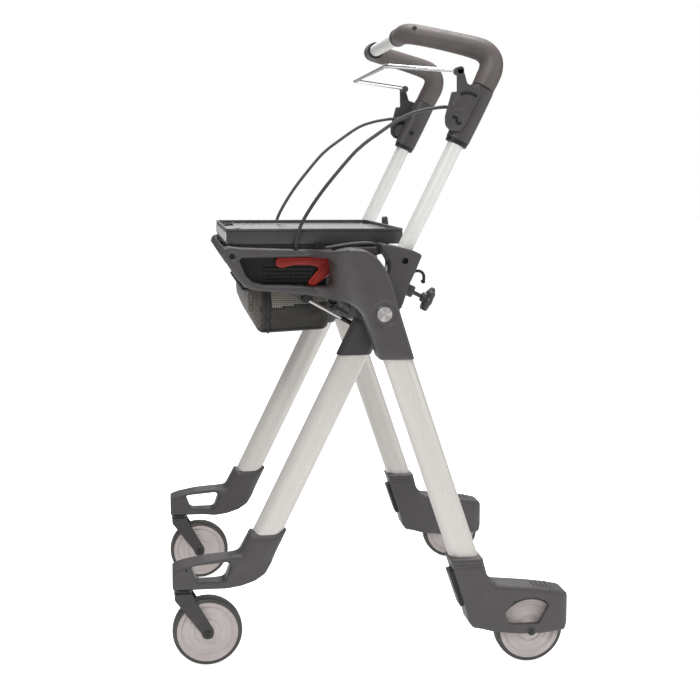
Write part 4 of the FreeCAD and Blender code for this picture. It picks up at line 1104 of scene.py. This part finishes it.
def build_latch():
    bar = relief("bar", RED, [outline(LATCH_OUTLINE, 2.0)], level(-146.6), level(-152.2), rim=1.8, grid=3.0,
        walls=2)
    rib = pipe("rib", RED, smooth_path([(-122, -151.6, 574.5, 1.2), (-90, -151.6, 575.6, 1.2),
        (-56, -151.6, 575.2, 1.2),
                                        (-60, -151.6, 568, 1.2), (-76, -151.6, 547, 1.2)], 6), 10)
    return join([bar, rib], "latch")


place(build_latch(), "latch_pull_lever", "latch_lever", "lever_red", "latch_lever")

STRUT_START = np.array((-86.5, 165.5, 523.0))
STRUT_WAY = np.array((86.5, 0.0, -48.0)) / math.hypot(86.5, 48.0)


def build_strut():
    def run(low, high, radius, mat):
        ends = [(low, radius - 0.5), (low + 0.5, radius), (high - 0.5, radius), (high, radius - 0.5)]
        piece = pipe("run", mat, [(*(STRUT_START + STRUT_WAY * t), r) for t, r in ends], 18)
        smooth_by_angle(piece, 35.0)
        return piece

    eye = lathe("eye", BLACK, [(3.1, 161.2), (5.6, 161.2), (6.0, 162), (6.0, 169), (5.6, 169.6), (3.1, 169.6)],
        -86.5, 0, 523.0, 32)
    return join([eye, run(4.5, 62.0, 2.9, STEEL), run(58.0, 128.0, 3.4, BLACK)], "strut")


both_sides(build_strut, "folding_strut", "fold_strut_{}", "stainless", ["fold_strut_{}"])


# ---- floor, light, camera
def seen_only(tree, socket, unseen, seen):
    """Gives the socket one value for what the camera sees and another for what lights the object."""
    path = tree.nodes.new("ShaderNodeLightPath")
    choose = tree.nodes.new("ShaderNodeMapRange")
    choose.inputs["To Min"].default_value = unseen
    choose.inputs["To Max"].default_value = seen
    tree.links.new(path.outputs["Is Camera Ray"], choose.inputs["Value"])
    tree.links.new(choose.outputs["Result"], socket)


FLOOR_GLOW = (0.12, 0.9)
BACKDROP_GLOW = (0.22, 1.0)
LIGHT_TARGET = (0, 0, 0.5)
LIGHTS = [("key", (-1.0, -2.3, 2.6), (1.2, 1.2), 40), ("fill", (2.2, -1.4, 1.4), (1.0, 1.8), 15),
          ("top", (0.2, 0.2, 2.8), (1.6, 1.6), 68), ("rim", (0.6, 2.4, 1.6), (2.0, 1.4), 12)]
CAMERA_PLACE = (-0.28609, -1.87551, 0.70039)
CAMERA_YAW, CAMERA_PITCH, CAMERA_ROLL = 8.757, 8.303, 0.188
SENSOR_MM, LENS_MM = 36.0, 62.50011


def build_stage():
    """Floor and backdrop, which the camera sees brighter than they light the object, and four soft lights."""
    bpy.context.scene.view_settings.view_transform = "Standard"
    bpy.ops.mesh.primitive_plane_add(size=30, location=(0, 0, 0))
    floor = bpy.context.object
    floor.name = "floor"
    look = Look("floor_white", srgb(0.96, 0.96, 0.96))
    look.tint(look.noise(3.0, 2.0), 0.995, 1.0)
    look.bsdf.inputs["Emission Color"].default_value = (1, 1, 1, 1)
    seen_only(look.mat.node_tree, look.bsdf.inputs["Emission Strength"], *FLOOR_GLOW)
    floor.data.materials.append(look.mat)
    world = bpy.data.worlds.new("soft_studio")
    bpy.context.scene.world = world
    world.use_nodes = True
    backdrop = world.node_tree.nodes["Background"]
    backdrop.inputs["Color"].default_value = (1.0, 1.0, 1.0, 1.0)
    seen_only(world.node_tree, backdrop.inputs["Strength"], *BACKDROP_GLOW)

    for name, spot, size, energy in LIGHTS:
        light = bpy.data.lights.new(name, "AREA")
        light.shape = "RECTANGLE"
        light.size, light.size_y = size
        light.energy = energy
        lamp = bpy.data.objects.new(name, light)
        bpy.context.scene.collection.objects.link(lamp)
        lamp.location = spot
        lamp.rotation_euler = (Vector(LIGHT_TARGET) - Vector(spot)).to_track_quat("-Z", "Y").to_euler()


def build_camera():
    yaw, pitch, roll = (math.radians(a) for a in (CAMERA_YAW, CAMERA_PITCH, CAMERA_ROLL))
    forward = Vector((math.sin(yaw) * math.cos(pitch), math.cos(yaw) * math.cos(pitch), -math.sin(pitch)))
    right = Vector((math.cos(yaw), -math.sin(yaw), 0.0))
    up = right.cross(forward)
    turn = Matrix((right, up, -forward)).transposed() @ Matrix.Rotation(roll, 3, "Z")
    data = bpy.data.cameras.new("camera")
    data.sensor_width = SENSOR_MM
    data.lens = LENS_MM
    camera = bpy.data.objects.new("camera", data)
    bpy.context.scene.collection.objects.link(camera)
    camera.matrix_world = Matrix.Translation(Vector(CAMERA_PLACE)) @ turn.to_4x4()
    bpy.context.scene.camera = camera


build_stage()
build_camera()
